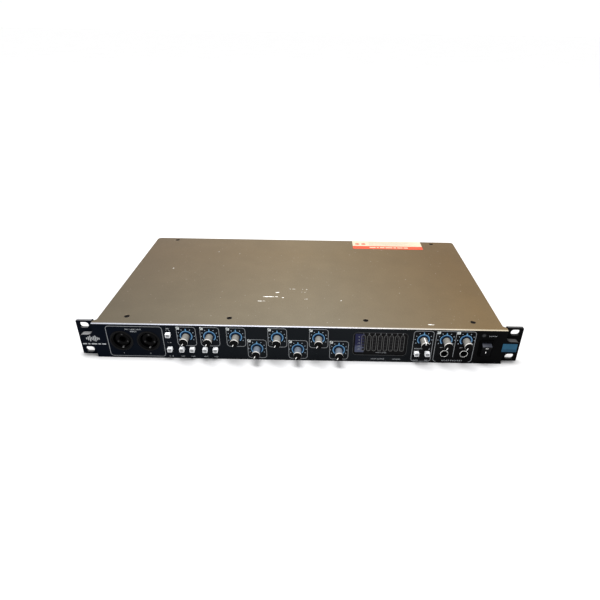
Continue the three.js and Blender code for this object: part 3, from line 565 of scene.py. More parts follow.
# cover screws: domed head whose height drops inside a cross, by smooth steps at the arms' sides and ends
def makeScrews():
    size = {"radius": 2.9, "dome": 0.35, "slot": 0.75, "slotSlope": 14, "reach": 1.9, "reachSlope": 7,
            "deep": 1.1, "taper": 0.35, "skirt": 0.4, "sink": 0.2, "rings": 14, "sides": 48, "turn": 17}
    share = np.linspace(1, 0.02, size["rings"])[:, None]
    angle = np.arange(size["sides"]) * 2 * np.pi / size["sides"]
    across = size["radius"] * share * np.cos(angle)
    along = size["radius"] * share * np.sin(angle)
    nearArm = np.minimum(np.abs(across), np.abs(along))
    cut = 1 / (1 + np.exp((nearArm - size["slot"] / 2) * size["slotSlope"]))
    cut = cut / (1 + np.exp((np.hypot(across, along) - size["reach"]) * size["reachSlope"]))
    height = size["dome"] * (1 - share**2) - size["deep"] * cut * (1 - size["taper"] * share)
    head = np.stack([across, along, height], -1)
    rim = np.stack([across[0], along[0], np.full(size["sides"], -size["skirt"])], -1)
    points, faces = loft(np.concatenate([rim[None], head]))
    for index, node in enumerate(nodesWith("cover_screw_"), 1):
        x, _ = nodeCentre(node)
        spread = np.radians(size["turn"] * index)
        turn = np.array([[np.cos(spread), np.sin(spread), 0], [-np.sin(spread), np.cos(spread), 0],
                         [0, 0, 1]])
        placed = points @ turn + np.array([x, sum(depthOf(node)) / 2, coverTop - size["sink"]])
        makePiece(f"coverScrew{index}", [((placed, faces), "blackSteel")],
                  replaced=[node], sharp=50)


makeScrews()


# cover label: vinyl sheet with a red band, two round marks and rows of plain bars, no wording
def makeCoverLabel():
    size = {"band": 10.0, "sink": 0.05, "ink": 0.035, "markRadius": 3.1, "markHole": 1.6, "markPitch": 9.0,
            "textStart": 24, "dashes": (9, 3, 7, 10, 4, 8, 6), "dashGap": 1.4, "rows": 6, "rowPitch": 2.5,
            "rowHeight": 0.9, "margin": 5}
    low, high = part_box("cover_sticker")
    x0, x1 = low.x * 1000, high.x * 1000
    y0, y1 = depthOf("cover_sticker")
    top = high.z * 1000 - size["sink"]

    def sheet(xa, xb, ya, yb, radius, bottom, upper):
        return moved(flatSlab(roundedLoop(xb - xa, yb - ya, radius, 4), bottom, upper), (xa + xb) / 2,
                     (ya + yb) / 2)

    ink = (top - size["ink"], top)
    parts = [(sheet(x0, x1, y0, y1, 1.2, low.z * 1000, top - 0.03), "labelWhite"),
             (sheet(x0, x1, y0, y0 + size["band"], 1.0, *ink), "labelRed")]
    start = x0 + size["textStart"]
    for width in size["dashes"]:
        parts.append((sheet(start, start + width, y0 + 3.6, y0 + 6.4, 0.5, top - 0.01, top + 0.02),
                      "labelWhite"))
        start += width + size["dashGap"]
    outer, inner = size["markRadius"], size["markHole"]
    ring = loft([np.stack([*(circle(r, 32).T), np.full(32, z)], -1)
                 for r, z in ((outer, ink[0]), (outer, top), (inner, top), (inner, ink[0]))], closed=True)
    for index in range(2):
        centre = x0 + 7 + size["markPitch"] * index
        parts.append((moved(ring, centre, y0 + 17), "labelRed"))
        parts.append((sheet(centre - 0.5, centre + 0.5, y0 + 14.6, y0 + 19.4, 0.3, *ink), "labelRed"))
    for row in range(size["rows"]):
        upper = y1 - 2.2 - row * size["rowPitch"]
        end = x1 - size["margin"] - (row * 13) % 21  # each row stops somewhere else
        parts.append((sheet(x0 + size["textStart"], end, upper - size["rowHeight"], upper, 0.3, *ink),
                      "labelGrey"))
    makePiece("coverLabel", parts, replaced=["cover_sticker"])


makeCoverLabel()


# small scuffs on the cover: short flat streaks and one chip at the front edge, each of them its start and end
# in x, its place in y, its width and its tilt in degrees
def makeScuffs():
    marks = [(-45.5, -31.5, 64.6, 1.15, 0), (-31, -27.5, 64.9, 0.9, 0), (-31.5, -26.6, 75.2, 1.2, 12),
             (-50.5, -45.4, 54, 0.8, 1), (-45, -41.5, 54.2, 0.4, 0), (-22.8, -20.4, 62.8, 1.0, -4),
             (-11.5, -8, 84.4, 0.35, 2), (-14.6, -13.6, 84.4, 0.4, 0), (0.2, 1.4, 84.2, 0.35, 0),
             (4.4, 7.2, 83.8, 0.25, -2), (3, 4.8, 77, 0.4, 0), (-0.4, 0.6, 77, 0.3, 0),
             (3.4, 8, 60.4, 0.25, 0), (-171, -169.2, 136, 1.0, 20), (-121, -119.6, 191, 0.45, -10),
             (-91, -89, 185, 0.4, 15), (138.5, 143.5, 9.3, 1.1, -3), (142.8, 145.4, 8.9, 0.5, 8),
             (46, 47.4, 58, 0.9, 50)]
    size = {"points": 13, "wobble": 0.35, "waves": 9, "least": 0.02, "sunk": 0.02, "proud": 0.015}
    share = np.linspace(-1, 1, size["points"])
    parts = []
    for x0, x1, y, width, tilt in marks:
        ragged = 1 + size["wobble"] * np.sin(size["waves"] * share + x0)
        half = width / 2 * np.sqrt(1 - share**2) * ragged + size["least"]
        along = share * (x1 - x0) / 2
        loop = np.concatenate([np.stack([along, -half], -1), np.stack([along, half], -1)[::-1]])
        angle = np.radians(tilt)
        turn = np.array([[np.cos(angle), np.sin(angle)], [-np.sin(angle), np.cos(angle)]])
        flat = loop @ turn + np.array([(x0 + x1) / 2, y])
        parts.append((flatSlab(flat, coverTop - size["sunk"], coverTop + size["proud"]), "scuffMetal"))
    makePiece("coverScuffs", parts)


makeFinish("scuffMetal", (0.88, 0.85, 0.78), 0.5, drift=0.25, driftScale=900)
makeScuffs()
print("cover finished")


# knobs: ribbed cap that widens towards its rolled edge, a dished face, a white pointer and a steel shaft;
# the band before the rolled edge is a painted highlight and the lower row's grips carry a painted bluish
# reflection
knobSize = {"front": -13.0, "ribs": 24, "ribDepth": 0.05, "ribStart": -2.1, "ribEnd": -12, "pointer": 0.75,
            "proud": 0.06, "sunk": 0.1, "sides": 96, "gripRuns": 10, "highlightRuns": 3}
knobRest = {"gain_knob": -150, "phones_knob": -150, "monitor_knob": 0}  # pointer's angle, degrees
knobProfile = [(2.6, -0.8), (3.6, -0.8), (3.74, -0.95), (3.76, -1.7), (3.68, -1.85), (3.68, -2.0),
               (3.76, -2.2), (3.84, -5.0), (3.98, -7.5), (4.16, -9.6), (4.36, -11.4), (4.46, -12.1),
               (4.49, -12.45), (4.42, -12.75), (4.25, -12.94), (4.05, -13.0)]
faceProfile = [(3.85, -12.96), (3.6, -12.87), (2.5, -12.82), (1.3, -12.8), (0.3, -12.8)]
shaftProfile = [(2.0, 8.6), (2.7, 8.6), (3.0, 8.3), (3.0, -1.0), (2.0, -1.0)]


# cap: the profile carried round the axis, its radius rising and falling with a cosine along the grip
def knobParts(turn, gripFinish):
    sides = knobSize["sides"]
    angle = np.arange(sides) * 2 * np.pi / sides
    radii, depth = np.array(knobProfile).T[:, :, None]
    grip = (depth < knobSize["ribStart"]) & (depth > knobSize["ribEnd"])
    radius = radii - knobSize["ribDepth"] * grip * (0.5 + 0.5 * np.cos(knobSize["ribs"] * angle))
    rings = np.stack([radius * np.cos(angle), depth + 0 * angle, radius * np.sin(angle)], -1)
    rings = np.concatenate([rings, [atDepth(circle(r, sides), y) for r, y in faceProfile]])
    # painted highlight on the runs before the rolled edge
    runs = [gripFinish] * knobSize["gripRuns"] + ["knobEdge"] * knobSize["highlightRuns"]
    runs += ["knobFace"] * (len(rings) - 1 - len(runs))
    cap, wearAndPaintedLight = loft(rings), finishRuns(rings, runs)
    # pointer: a narrow strip that follows the cap's profile over the edge and part of the face
    path = np.array([p for p in knobProfile if p[1] < -2.0] + faceProfile[:3] + [(1.7, -12.81)])
    half = knobSize["pointer"] / 2
    outer = path + np.array([knobSize["proud"], -knobSize["proud"]])
    outer[:, 1] = np.maximum(outer[:, 1], knobSize["front"])
    inner = path + np.array([-knobSize["sunk"], knobSize["sunk"]])
    strip = [np.stack([np.full(len(path), x), line[:, 1], np.sqrt(np.maximum(line[:, 0] ** 2 - x * x, 0))],
                      -1)
             for x, line in ((half, outer), (-half, outer), (-half, inner), (half, inner))]
    pointer = loft(np.stack(strip, 1))
    return [(spun(cap, turn), wearAndPaintedLight), (spun(pointer, turn), "whiteMark"), (turned(shaftProfile, 40), "nickel")]


# every knob, turned so that its pointer stands where it does at rest
def makeKnobs():
    for node in nodesWith("_knob"):
        kind = node.rstrip("0123456789").rstrip("_")
        x, z = axisOf(node)
        # painted reflection: the lower row's grips are tinted bluish
        gripFinish = "knobGrip" if z > panelHeight / 2 else "knobGripLow"
        parts = knobParts(knobRest[kind], gripFinish)
        makePiece(node + "_cap", onPanel(parts, x, z), body=node, replaced=[node])


makeKnobs()


# push buttons: rounded block whose front is scooped like a shallow trough, deepest at mid height; painted
# shade makes the rounded rim grey and the trough darker than the white plastic
def makeButtons():
    size = {"corner": 0.55, "cornerEase": 0.5, "back": 11.0, "front": -4.0, "scoop": 0.7, "scoopStart": 0.8,
            "edge": 0.3}
    insets = [0, 0.08, 0.22, 0.42, 0.75, 1.0, 1.3, 1.7, 2.1]
    edge = size["edge"]
    for node in nodesWith("_button"):
        x, z = nodeCentre(node)
        width, height = faceSize(node)
        reach = height / 2 - edge
        loops = [atDepth(roundedLoop(width, height, size["corner"], 5), size["back"])]
        for inset in insets:
            corner = size["corner"] - inset * size["cornerEase"]
            loop = roundedLoop(width - 2 * inset, height - 2 * inset, corner, 5)
            rolled = edge - np.sqrt(max(0, edge**2 - max(0, edge - inset) ** 2))
            trough = size["scoop"] * np.clip(1 - (loop[:, 1] / reach) ** 2, 0, 1)
            trough = trough * np.clip(inset / size["scoopStart"], 0, 1)
            loops.append(atDepth(loop, size["front"] + rolled + trough))
        # painted shade on the rim and in the trough
        wearAndPaintedLight = finishRuns(loops,
                          ["buttonPlastic"] * 3 + ["buttonRim"] * 2 + ["buttonHollow"] * (len(loops) - 6))
        makePiece(node + "_cap", [(moved(loft(loops), x, 0, z), wearAndPaintedLight)], body=node,
                  replaced=[node], sharp=40)


makeButtons()
print("knobs and buttons made")


# combination sockets: stepped rim, deep ring gap, insert with a jack bore, three contacts and a latch
def socketParts():
    size = {"rim": 12.0, "proud": 0.55, "gapOuter": 9.6, "insert": 8.0, "recess": 3.0, "gapDepth": 12.0,
            "bore": 3.4, "boreDepth": 20.0, "depth": 24.0, "contacts": 5.9}
    shell = [(10.5, size["depth"]), (size["rim"], size["depth"]), (size["rim"], 0), (12.6, -0.02),
             (12.6, -0.25), (12.35, -size["proud"]), (11.2, -size["proud"]), (10.9, -0.35), (10.8, 0.2),
             (10.2, 0.6), (size["gapOuter"], 1.0), (size["gapOuter"], size["gapDepth"]),
             (size["insert"], size["gapDepth"]), (size["insert"], size["recess"] + 0.4),
             (size["insert"] - 0.4, size["recess"]), (size["bore"] + 1.3, size["recess"]),
             (size["bore"] + 1.0, size["recess"] - 0.35), (size["bore"] + 0.35, size["recess"] - 0.35),
             (size["bore"], size["recess"] + 0.1), (size["bore"], size["boreDepth"]),
             (0.2, size["boreDepth"])]
    parts = [(turned(shell, 64), "socketBlack")]
    rim = [(12.0, -0.1), (12.65, -0.1), (12.65, -0.3), (12.4, -0.6), (11.2, -0.6), (10.85, -0.35),
           (10.85, -0.1)]
    parts.append((turnedRing(rim, 64), "socketRim"))
    lip = [(9.62, 1.2), (9.9, 0.95), (10.0, 0.55), (9.62, 0.75)]
    parts.append((turnedRing(lip, 64), "socketRim"))
    for angle in np.radians((90, 210, 330)):
        across, up = size["contacts"] * np.cos(angle), size["contacts"] * np.sin(angle)
        sleeve = turnedRing([(1.25, 3.2), (1.25, 2.9), (0.85, 2.9), (0.85, 3.2)], 20)
        parts.append((moved(sleeve, across, 0, up), "dullContact"))
        # painted shade: a dark disc closes each contact hole
        pit = turned([(0.2, 2.99), (0.84, 2.99), (0.84, 2.94), (0.2, 2.94)], 16)
        parts.append((moved(pit, across, 0, up), "darkInk"))
    latch = boxed(1.7, 0.7, 0.3, [(0, 3), (0, 0.35), (0.15, 0.15), (0.4, 0.12)], 5)
    parts.append((moved(latch, 0, 0, -9.1), "dullSteel"))
    spring = boxed(1.6, 6.4, 0.3, [(0, 19.9), (0, 19.4), (0.2, 19.2)], 3)
    parts.append((spring, "dullContact"))
    return parts


def makeSockets():
    for node in nodesWith("combo_jack"):
        x, z = nodeCentre(node)
        parts = onRearWall(socketParts(), x, z) if node.startswith("rear") else onPanel(socketParts(), x, z)
        makePiece(node + "_socket", parts, replaced=[node])


makeSockets()


# headphone jacks: bright rolled nut, black sleeve, deep bore with a spring contact
def makePhonesJacks():
    nut = [(3.8, 0), (4.4, -0.2), (4.44, -0.75), (4.38, -1.05), (4.22, -1.26), (4.0, -1.3), (3.84, -1.1),
           (3.76, -0.7)]
    sleeve = [(6.0, 26), (6.5, 25.5), (6.5, 3.8), (6.3, 3.5), (4.1, 3.5), (4.1, -0.3), (3.7, -0.6),
              (3.3, -0.3), (3.3, 22), (0.2, 22)]
    contact = boxed(1.2, 5.4, 0.3, [(0, 20.5), (0, 20), (0.2, 19.8)], 3)
    for node in ("phones_jack_1", "phones_jack_2"):
        x, z = nodeCentre(node)
        parts = [(turnedRing(nut, 64), "nickel"), (turned(sleeve, 48), "blackPlastic"),
                 (contact, "dullContact")]
        makePiece(node + "_nut", onPanel(parts, x, z), replaced=[node], sharp=50)


makePhonesJacks()
print("front sockets made")


# level meter: smoked window with eight outlined columns of five lamps and a slate scale strip
def makeMeter():
    size = {"corner": 3.7, "face": 0.5, "first": 69.2, "pitch": 6.03, "columns": 8, "lamps": 5,
            "lampPitch": 4.0, "lampRadius": 1.25, "width": 4.4, "height": 20.7, "middle": 24.3,
            "line": 0.42, "numbers": 36.4, "strip": (9.8, 24.1), "stripX": 65.3, "marksX": 64.4,
            "title": (89.5, 12.1)}
    x, z = nodeCentre("meter_window")
    face, middle = size["face"], size["middle"]
    window = boxed(*faceSize("meter_window"), size["corner"],
                   [(0.6, 2.0), (0, 2.0), (0, face + 0.25), (0.08, face + 0.08), (0.25, face), (1.0, face)])
    makePiece("meterGlass", [(moved(window, x, 0, z), "smokedGloss")],
              replaced=["meter_window"])
    outline = printedFrame(size["width"], size["height"], 2.2, size["line"], 8)
    pane = boxed(size["width"] - 0.9, size["height"] - 0.9, 1.7, [(0, 0.0), (0, -0.02)], 8)
    radius = size["lampRadius"]
    bead = turned([(0.3, 0.0), (radius, 0.0), (radius, -0.12), (1.0, -0.2), (0.5, -0.24), (0.1, -0.25)], 24)
    parts = []
    for column in range(size["columns"]):
        centre = size["first"] + column * size["pitch"]
        parts.append((moved(outline, centre, face, middle), "meterLine"))
        parts.append((moved(pane, centre, face, middle), "columnSmoke"))
        parts.append((moved(lettering(str(column + 1), 1.9), centre, face, size["numbers"]), "greyPrint"))
        for lamp in range(size["lamps"]):
            height = middle + (lamp - (size["lamps"] - 1) / 2) * size["lampPitch"]
            parts.append((moved(bead, centre, face, height), "ledLens"))
    strip = boxed(*size["strip"], 0.8, [(0, 0.0), (0, -0.03), (0.05, -0.05)], 4)
    parts.append((moved(strip, size["stripX"], face, z + 0.8), "slateGloss"))
    for row, mark in enumerate(("0", "-3", "-12", "-24", "-40")):
        level = middle + (2 - row) * size["lampPitch"]
        parts.append((moved(lettering(mark, 1.7), size["marksX"], face - 0.04, level), "greyPrint"))
    titleX, titleZ = size["title"]
    parts.append((moved(lettering("INPUT LEVEL", 1.5), titleX, face, titleZ), "greyPrint"))
    makePiece("meterPrint", parts)


makeFinish("windowEdge", (0.035, 0.035, 0.036), 0.4, drift=0.3, driftScale=200, specular=0.2)
makeFinish("meterLine", (0.085, 0.084, 0.083), 0.5, drift=0.2, driftScale=500, specular=0.3)
makeMeter()


# power lamp: small domed lens in a thin collar
def makeLamp():
    x, z = nodeCentre("power_lamp")
    lens = turned([(1.2, 4.0), (2.0, 4.0), (2.0, -0.15), (1.85, -0.4), (1.45, -0.62), (0.9, -0.74),
                   (0.2, -0.79)], 40)
    collar = turnedRing([(2.0, -0.02), (2.75, -0.02), (2.75, -0.25), (2.5, -0.45), (2.1, -0.45),
                         (2.0, -0.3)], 40)
    makePiece("powerLens", [(moved(lens, x, 0, z), "lampLens"), (moved(collar, x, 0, z), "socketRim")],
              replaced=["power_lamp"])


makeLamp()


# mains rocker: its side outline swept across, edges rounded by pulling the outline in near both ends
def makeRocker():
    size = {"tip": 8.8, "dip": 1.25, "half": 8.3, "width": 10.4, "round": 0.5, "tilt": 10.0, "nose": 1.6,
            "bulge": 0.9, "gap": 0.3, "ringHeight": 4.3, "barHeight": -2.3}
    px, py, pz = (1000 * value for value in joints["power_rocker"]["pos_m"])
    py -= panelY
    level = np.linspace(-1, 1, 21)
    front = -size["tip"] + size["dip"] * (1 - np.abs(level) ** 1.7)
    side = np.linspace(0.5, 6.0, 5)
    shoulder = size["half"] - size["nose"]
    end = shoulder + size["bulge"] * np.sin(side / 6 * np.pi / 2)
    outline = np.concatenate([
        np.stack([front, level * shoulder], -1),
        np.stack([-size["tip"] + side, end], -1),
        np.array([[1.5, size["half"] - 2.1], [3.0, 0.0], [1.5, -size["half"] + 2.1]]),
        np.stack([-size["tip"] + side[::-1], -end[::-1]], -1),
    ])
    middle = np.array([-2.4, 0.0])
    inward = np.array([0, 0.1, 0.3, 0.5])
    rise = size["round"] - np.sqrt(size["round"] ** 2 - (size["round"] - inward) ** 2)
    places = np.concatenate([-size["width"] / 2 + inward, (size["width"] / 2 - inward)[::-1]])
    away = outline - middle
    distance = np.linalg.norm(away, axis=1, keepdims=True)
    rings = np.stack([
        np.concatenate([np.full((len(outline), 1), place), middle + away * (1 - inset / distance)], 1)
        for place, inset in zip(places, np.concatenate([rise, rise[::-1]]))])
    body = loft(rings[:, ::-1])
    # painted highlight: the upper end's faces are made lighter, where they catch the light from above
    turnedLevel = outline[::-1, 1]
    upper = (turnedLevel + np.roll(turnedLevel, -1)) / 2 > shoulder - 0.05
    wearAndPaintedLight = ["rockerEndHighlight" if high else "rockerPlastic"
            for high in upper] * (len(rings) - 1) + ["rockerPlastic"] * 2
    angle = np.radians(size["tilt"])

    def tipped(part):
        points, faces = part
        back = points[:, 1] * np.cos(angle) - points[:, 2] * np.sin(angle)
        up = points[:, 1] * np.sin(angle) + points[:, 2] * np.cos(angle)
        return np.stack([points[:, 0] + px, back + py, up + pz], -1), faces

    markDepth = -size["tip"] + 1.02
    ringMark = moved(printedFrame(2.8, 1.9, 0.9, 0.5, 8), 0, markDepth - 0.35, size["ringHeight"])
    barMark = boxed(0.75, 2.5, 0.1, [(0, 0.4), (0, -printDepth)], 2)
    barMark = moved(barMark, 0, markDepth - 0.1, size["barHeight"])
    parts = [(tipped(body), wearAndPaintedLight), (tipped(ringMark), "whiteMark"), (tipped(barMark), "whiteMark")]
    makePiece("powerRockerCap", parts, body="power_rocker", replaced=["power_rocker"],
              sharp=40)
    hx, hz = nodeCentre("rocker_housing")
    width, height = faceSize("rocker_housing")
    front, back = depthOf("rocker_housing")
    wall = (width - size["width"]) / 2 - size["gap"]
    housing = boxed(width, height, 1.2, [
        (2.5, back), (1.1, back), (1.1, -0.3), (0, -0.3), (0, front + 0.4), (0.12, front + 0.15),
        (0.4, front), (wall - 0.25, front), (wall, front + 0.25), (wall, back - 1), (wall + 2, back - 1)], 5)
    makePiece("rockerFrame", [(moved(housing, hx, 0, hz), "rockerShroud")],
              replaced=["rocker_housing"], sharp=40)


makeFinish("rockerPlastic", (0.0024, 0.0024, 0.0028), 0.32, drift=0.15, driftScale=300, specular=0.015)
makeFinish("rockerShroud", (0.0012, 0.0012, 0.0013), 0.4, drift=0.15, driftScale=300, specular=0.008)
# painted highlight for the rocker's upper end
makeFinish("rockerEndHighlight", (0.024, 0.026, 0.034), 0.35, drift=0.15, driftScale=300, specular=0.2)
makeRocker()
print("meter, lamp and rocker made")


# print on the panel: frames, scales, tags and captions; a frame is its left, right, foot and top, and a
# caption its words, place, size and letter spread
printed = {
    "line": 0.55, "corner": 3.6, "arcInner": 5.95, "arcOuter": 6.7, "deepInner": 4.7, "sweep": 137,
    "tickRadius": 8.5, "tickLength": 0.95, "tickWidth": 0.75, "peak": 9.3, "caption": 1.6, "tag": 3.5,
    "pairFrame": (-10.1, 10.8, -12.6, 11.8), "channelFrame": (-10.2, 10.6, -12.5, 11.8),
    "inputFrame": (-208, -147, 2, 41), "monitorFrame": (122.6, 144.4, 1.4, 41.6),
    "phonesFrame": (146.8, 189.5, 1.6, 41.8), "dividerX": 168.2, "dividerHeight": 33.6, "dividerMiddle": 24.8,
    "phonesTitle": ("HEADPHONES", 168.0, 3.4, 1.1, 1.6), "powerTitle": ("POWER", 207.6, 36.1, 0.85, 1.4),
}


# scale round a knob: a light arc outside a deep one, ticks on rays every 30 degrees and a peak at the top
def scaleParts(x, z):
    sweep, outer, inner = printed["sweep"], printed["arcOuter"], printed["arcInner"]
    ticks = [angle for angle in range(-120, 121, 30) if angle]  # the peak stands at twelve o'clock
    tickStart = printed["tickRadius"]
    parts = [(printedArc(inner, outer, -sweep, sweep), "lightBluePrint"),
             (printedArc(printed["deepInner"], inner - 0.03, -sweep, sweep), "deepBluePrint")]
    parts += [(ray, "tickPrint") for ray in
              printedRays(ticks, tickStart, tickStart + printed["tickLength"], printed["tickWidth"])]
    peak = np.array([[0.75, outer], [0.25, printed["peak"]], [-0.25, printed["peak"]], [-0.75, outer]])
    parts.append((loft([atDepth(peak, 0), atDepth(peak, -printDepth)]), "lightBluePrint"))
    return onPanel(parts, x, z)


# frame round a group of controls: one printed line round a rounded rectangle
def framePart(x0, x1, z0, z1):
    frameBand = printedFrame(x1 - x0, z1 - z0, printed["corner"], printed["line"])
    return moved(frameBand, (x0 + x1) / 2, 0, (z0 + z1) / 2), "greyPrint"


# the same frame left open at the foot: the band runs from one lower corner over the top to the other
def openFrame(x0, x1, z0, z1):
    width, height, corner, line = x1 - x0, z1 - z0, printed["corner"], printed["line"]
    outer = np.roll(roundedLoop(width, height, corner), 7, 0)
    inner = np.roll(roundedLoop(width - 2 * line, height - 2 * line, corner - line), 7, 0)
    rings = np.stack([atDepth(outer, -printDepth), atDepth(inner, -printDepth), atDepth(inner, 0),
                      atDepth(outer, 0)], 1)
    return moved(loft(rings[::-1]), (x0 + x1) / 2, 0, (z0 + z1) / 2), "greyPrint"


# number tag: a rounded plate in a frame's upper left corner with its number on top
def tagParts(x0, z1, text, width=printed["tag"]):
    x, z = x0 + width / 2 + 0.1, z1 - printed["tag"] / 2 - 0.1
    return [(moved(printedPlate(width, printed["tag"], 0.5), x, 0, z), "tagPrint"),
            (moved(lettering(text, 1.9, 0.04), x, -printDepth - 0.01, z), "tagInk")]


# words on the panel, size being a share of the usual height
def caption(text, x, z, size=1.0, spread=1.0):
    return moved(lettering(text, printed["caption"] * size, spread=spread), x, 0, z), "whitePrint"


def makeChannelPrint():
    for index in range(1, 9):
        x, z = axisOf(f"gain_knob_{index}")
        left, right, foot, top = printed["pairFrame" if index < 3 else "channelFrame"]
        parts = scaleParts(x, z) + [framePart(x + left, x + right, z + foot, z + top)]
        parts += tagParts(x + left, z + top, str(index))
        makePiece(f"channelPrint{index}", parts)


def makeInputPrint():
    jacks = [nodeCentre(f"front_combo_jack_{index}")[0] for index in (1, 2)]
    middle, phantom = sum(jacks) / 2, nodeCentre("phantom_button_1")[0]
    words = [("1", jacks[0], 6.0, 1.1), ("2", jacks[1], 6.0, 1.1), ("MIC / LINE / INST", middle, 36.9, 1.05),
             ("INPUT", middle, 34.2, 1.15), ("48V", phantom, 38.8, 1.1), ("1 - 4", phantom, 36.3, 1.0),
             ("1 - 4", phantom, 20.8, 0.95), ("5 - 8", phantom, 2.8, 1.1)]
    for index in (1, 2):
        words.append(("INST", nodeCentre(f"inst_button_{index}")[0], 2.8, 0.95))
        words.append(("PAD", nodeCentre(f"pad_button_{index}")[0], 2.8, 1.0))
    makePiece("inputPrint", [framePart(*printed["inputFrame"])] + [caption(*word) for word in words])


def makeOutputPrint():
    x, z = axisOf("monitor_knob")
    parts = scaleParts(x, z) + [framePart(*printed["monitorFrame"])]
    parts += [caption("MONITOR LEVEL", x, 18.5, 1.05),
              caption("MUTE", nodeCentre("mute_button")[0], 3.0, 0.95),
              caption("DIM", nodeCentre("dim_button")[0], 3.0, 0.95), openFrame(*printed["phonesFrame"])]
    divider = printedPlate(printed["line"], printed["dividerHeight"], 0.05, 2)
    parts.append((moved(divider, printed["dividerX"], 0, printed["dividerMiddle"]), "greyPrint"))
    for index in (1, 2):
        x, z = axisOf(f"phones_knob_{index}")
        parts += scaleParts(x, z)
        parts += tagParts(x - 10.9, 41.6, str(index), 3.8)
        parts.append(caption("MIN", x - 4.0, 20.6, 0.7))
    parts += [caption(*printed["phonesTitle"]), caption(*printed["powerTitle"])]
    makePiece("outputPrint", parts)


def makeMeterPrint():
    size = {"around": 0.5, "corner": 4.4, "line": 0.4, "lamps": 3.9, "words": 3.8, "lead": 2.9, "half": 0.66}
    x, z = nodeCentre("meter_window")
    width, height = (side + 2 * size["around"] for side in faceSize("meter_window"))
    parts = [(moved(printedFrame(width, height, size["corner"], size["line"]), x, 0, z), "windowEdge")]
    dot = turned([(0.2, 0.0), (0.9, 0.0), (0.9, -0.06), (0.6, -0.12), (0.1, -0.14)], 24)
    for x, text in ((76.0, "HOST ACTIVE"), (100.0, "LOCKED")):
        parts.append((moved(dot, x, 0, size["lamps"]), "ledLens"))
        parts.append(caption(text, x + size["lead"] + size["half"] * len(text), size["words"], 0.95, 1.12))
    makePiece("meterCaptions", parts)


# one end carries a plain group of bars over a row of dashes, the other a blank blue badge
def makeBadges():
    size = {"bars": (2.4, 4.8, 7.2, 3.6, 6.0, 7.6, 4.2, 2.6), "barX": -230.4, "barPitch": 1.9, "barZ": 24.3,
            "dashes": (4.6, 2.4, 6.2, 3.0, 4.4), "dashX": -236.0, "dashGap": 1.2, "dashZ": 17.3,
            "badgeX": 227.9, "badgeZ": 21.5, "bandZ": 18.2}
    parts = []
    for index, height in enumerate(size["bars"]):
        bar = boxed(1.15, height, 0.5, [(0, 0), (0, -0.12), (0.1, -0.18)], 4)
        parts.append((moved(bar, size["barX"] + index * size["barPitch"], 0, size["barZ"]), "silverPrint"))
    start = size["dashX"]
    for width in size["dashes"]:
        parts.append((moved(printedPlate(width, 1.5, 0.6), start + width / 2, 0, size["dashZ"]),
                      "silverPrint"))
        start += width + size["dashGap"]
    makePiece("plainMark", parts)
    badge = boxed(15.8, 10.3, 0.5, [(0.1, 0), (0, 0), (0, -0.25), (0.12, -0.35)], 4)
    band = boxed(15.0, 3.4, 0.3, [(0, -0.34), (0, -0.37)], 3)
    makePiece("blueBadge", [(moved(badge, size["badgeX"], 0, size["badgeZ"]), "badgeBlue"),
                            (moved(band, size["badgeX"], 0, size["bandZ"]), "badgeDeep")])


makeFinish("tagPrint", (0.52, 0.55, 0.55), 0.55, drift=0.08, driftScale=500, specular=0.3)
makeFinish("badgeDeep", (0.008, 0.045, 0.085), 0.42, drift=0.12, driftScale=200, specular=0.1)
makeChannelPrint()
makeInputPrint()
makeOutputPrint()
makeMeterPrint()
makeBadges()
print("print finished")


# block with a hole in its face: its outline carried to the front, then the hole's outline back to its floor
def boredBlock(width, height, depth, hole, floor):
    steps = len(hole) // 4 - 1
    loops = [atDepth(roundedLoop(width - 2 * inset, height - 2 * inset, 0.8, steps), y)
             for inset, y in ((0.5, depth + 0.5), (0, depth), (0, 1.8), (0.4, 1.5))]
    return loft(loops + [atDepth(hole, 1.5), atDepth(hole, floor)])


# line outputs: moulded blocks behind the wall, threaded noses, hexagonal nuts
def makeLineOuts():
    size = {"rows": (12.0, 31.5), "nut": 6.2, "half": 9.0, "bore": 3.35, "turns": 6}
    nose = [(4.1, 1.6), (4.1, -0.4)]
    for step in range(size["turns"]):  # thread: the radius swings in and out
        nose += [(3.95, -0.5 - step * 0.3), (4.1, -0.65 - step * 0.3)]
    nose += [(4.05, -2.35), (3.85, -2.5), (3.5, -2.5), (3.3, -2.3), (3.3, 1.6)]
    hexagon = circle(1.0, 6)
    flat = np.cos(np.pi / 6)
    nutLoops = [atDepth(hexagon * (size["nut"] / flat) * share, y)
                for share, y in ((1, -0.1), (1, -1.3), (0.94, -1.6), (0.72, -1.6), (0.72, -0.1))]
    for node in nodesWith("line_out"):
        x, z = nodeCentre(node)
        parts = []
        for row, middle in zip(size["rows"], (-size["half"], size["half"])):
            hole = circle(size["bore"], 40) + np.array([0, row - z - middle])
            block = boredBlock(15, 2 * size["half"] - 0.1, 27, hole, 19.5)
            parts.append((moved(block, 0, 0, middle), "blackPlastic"))
            parts.append((moved(turnedRing(nose, 40), 0, 0, row - z), "blackPlastic"))
            parts.append((moved(loft(nutLoops, closed=True), 0, 0, row - z), "nickel"))
        makePiece(node + "_block", onRearWall(parts, x, z), replaced=[node])


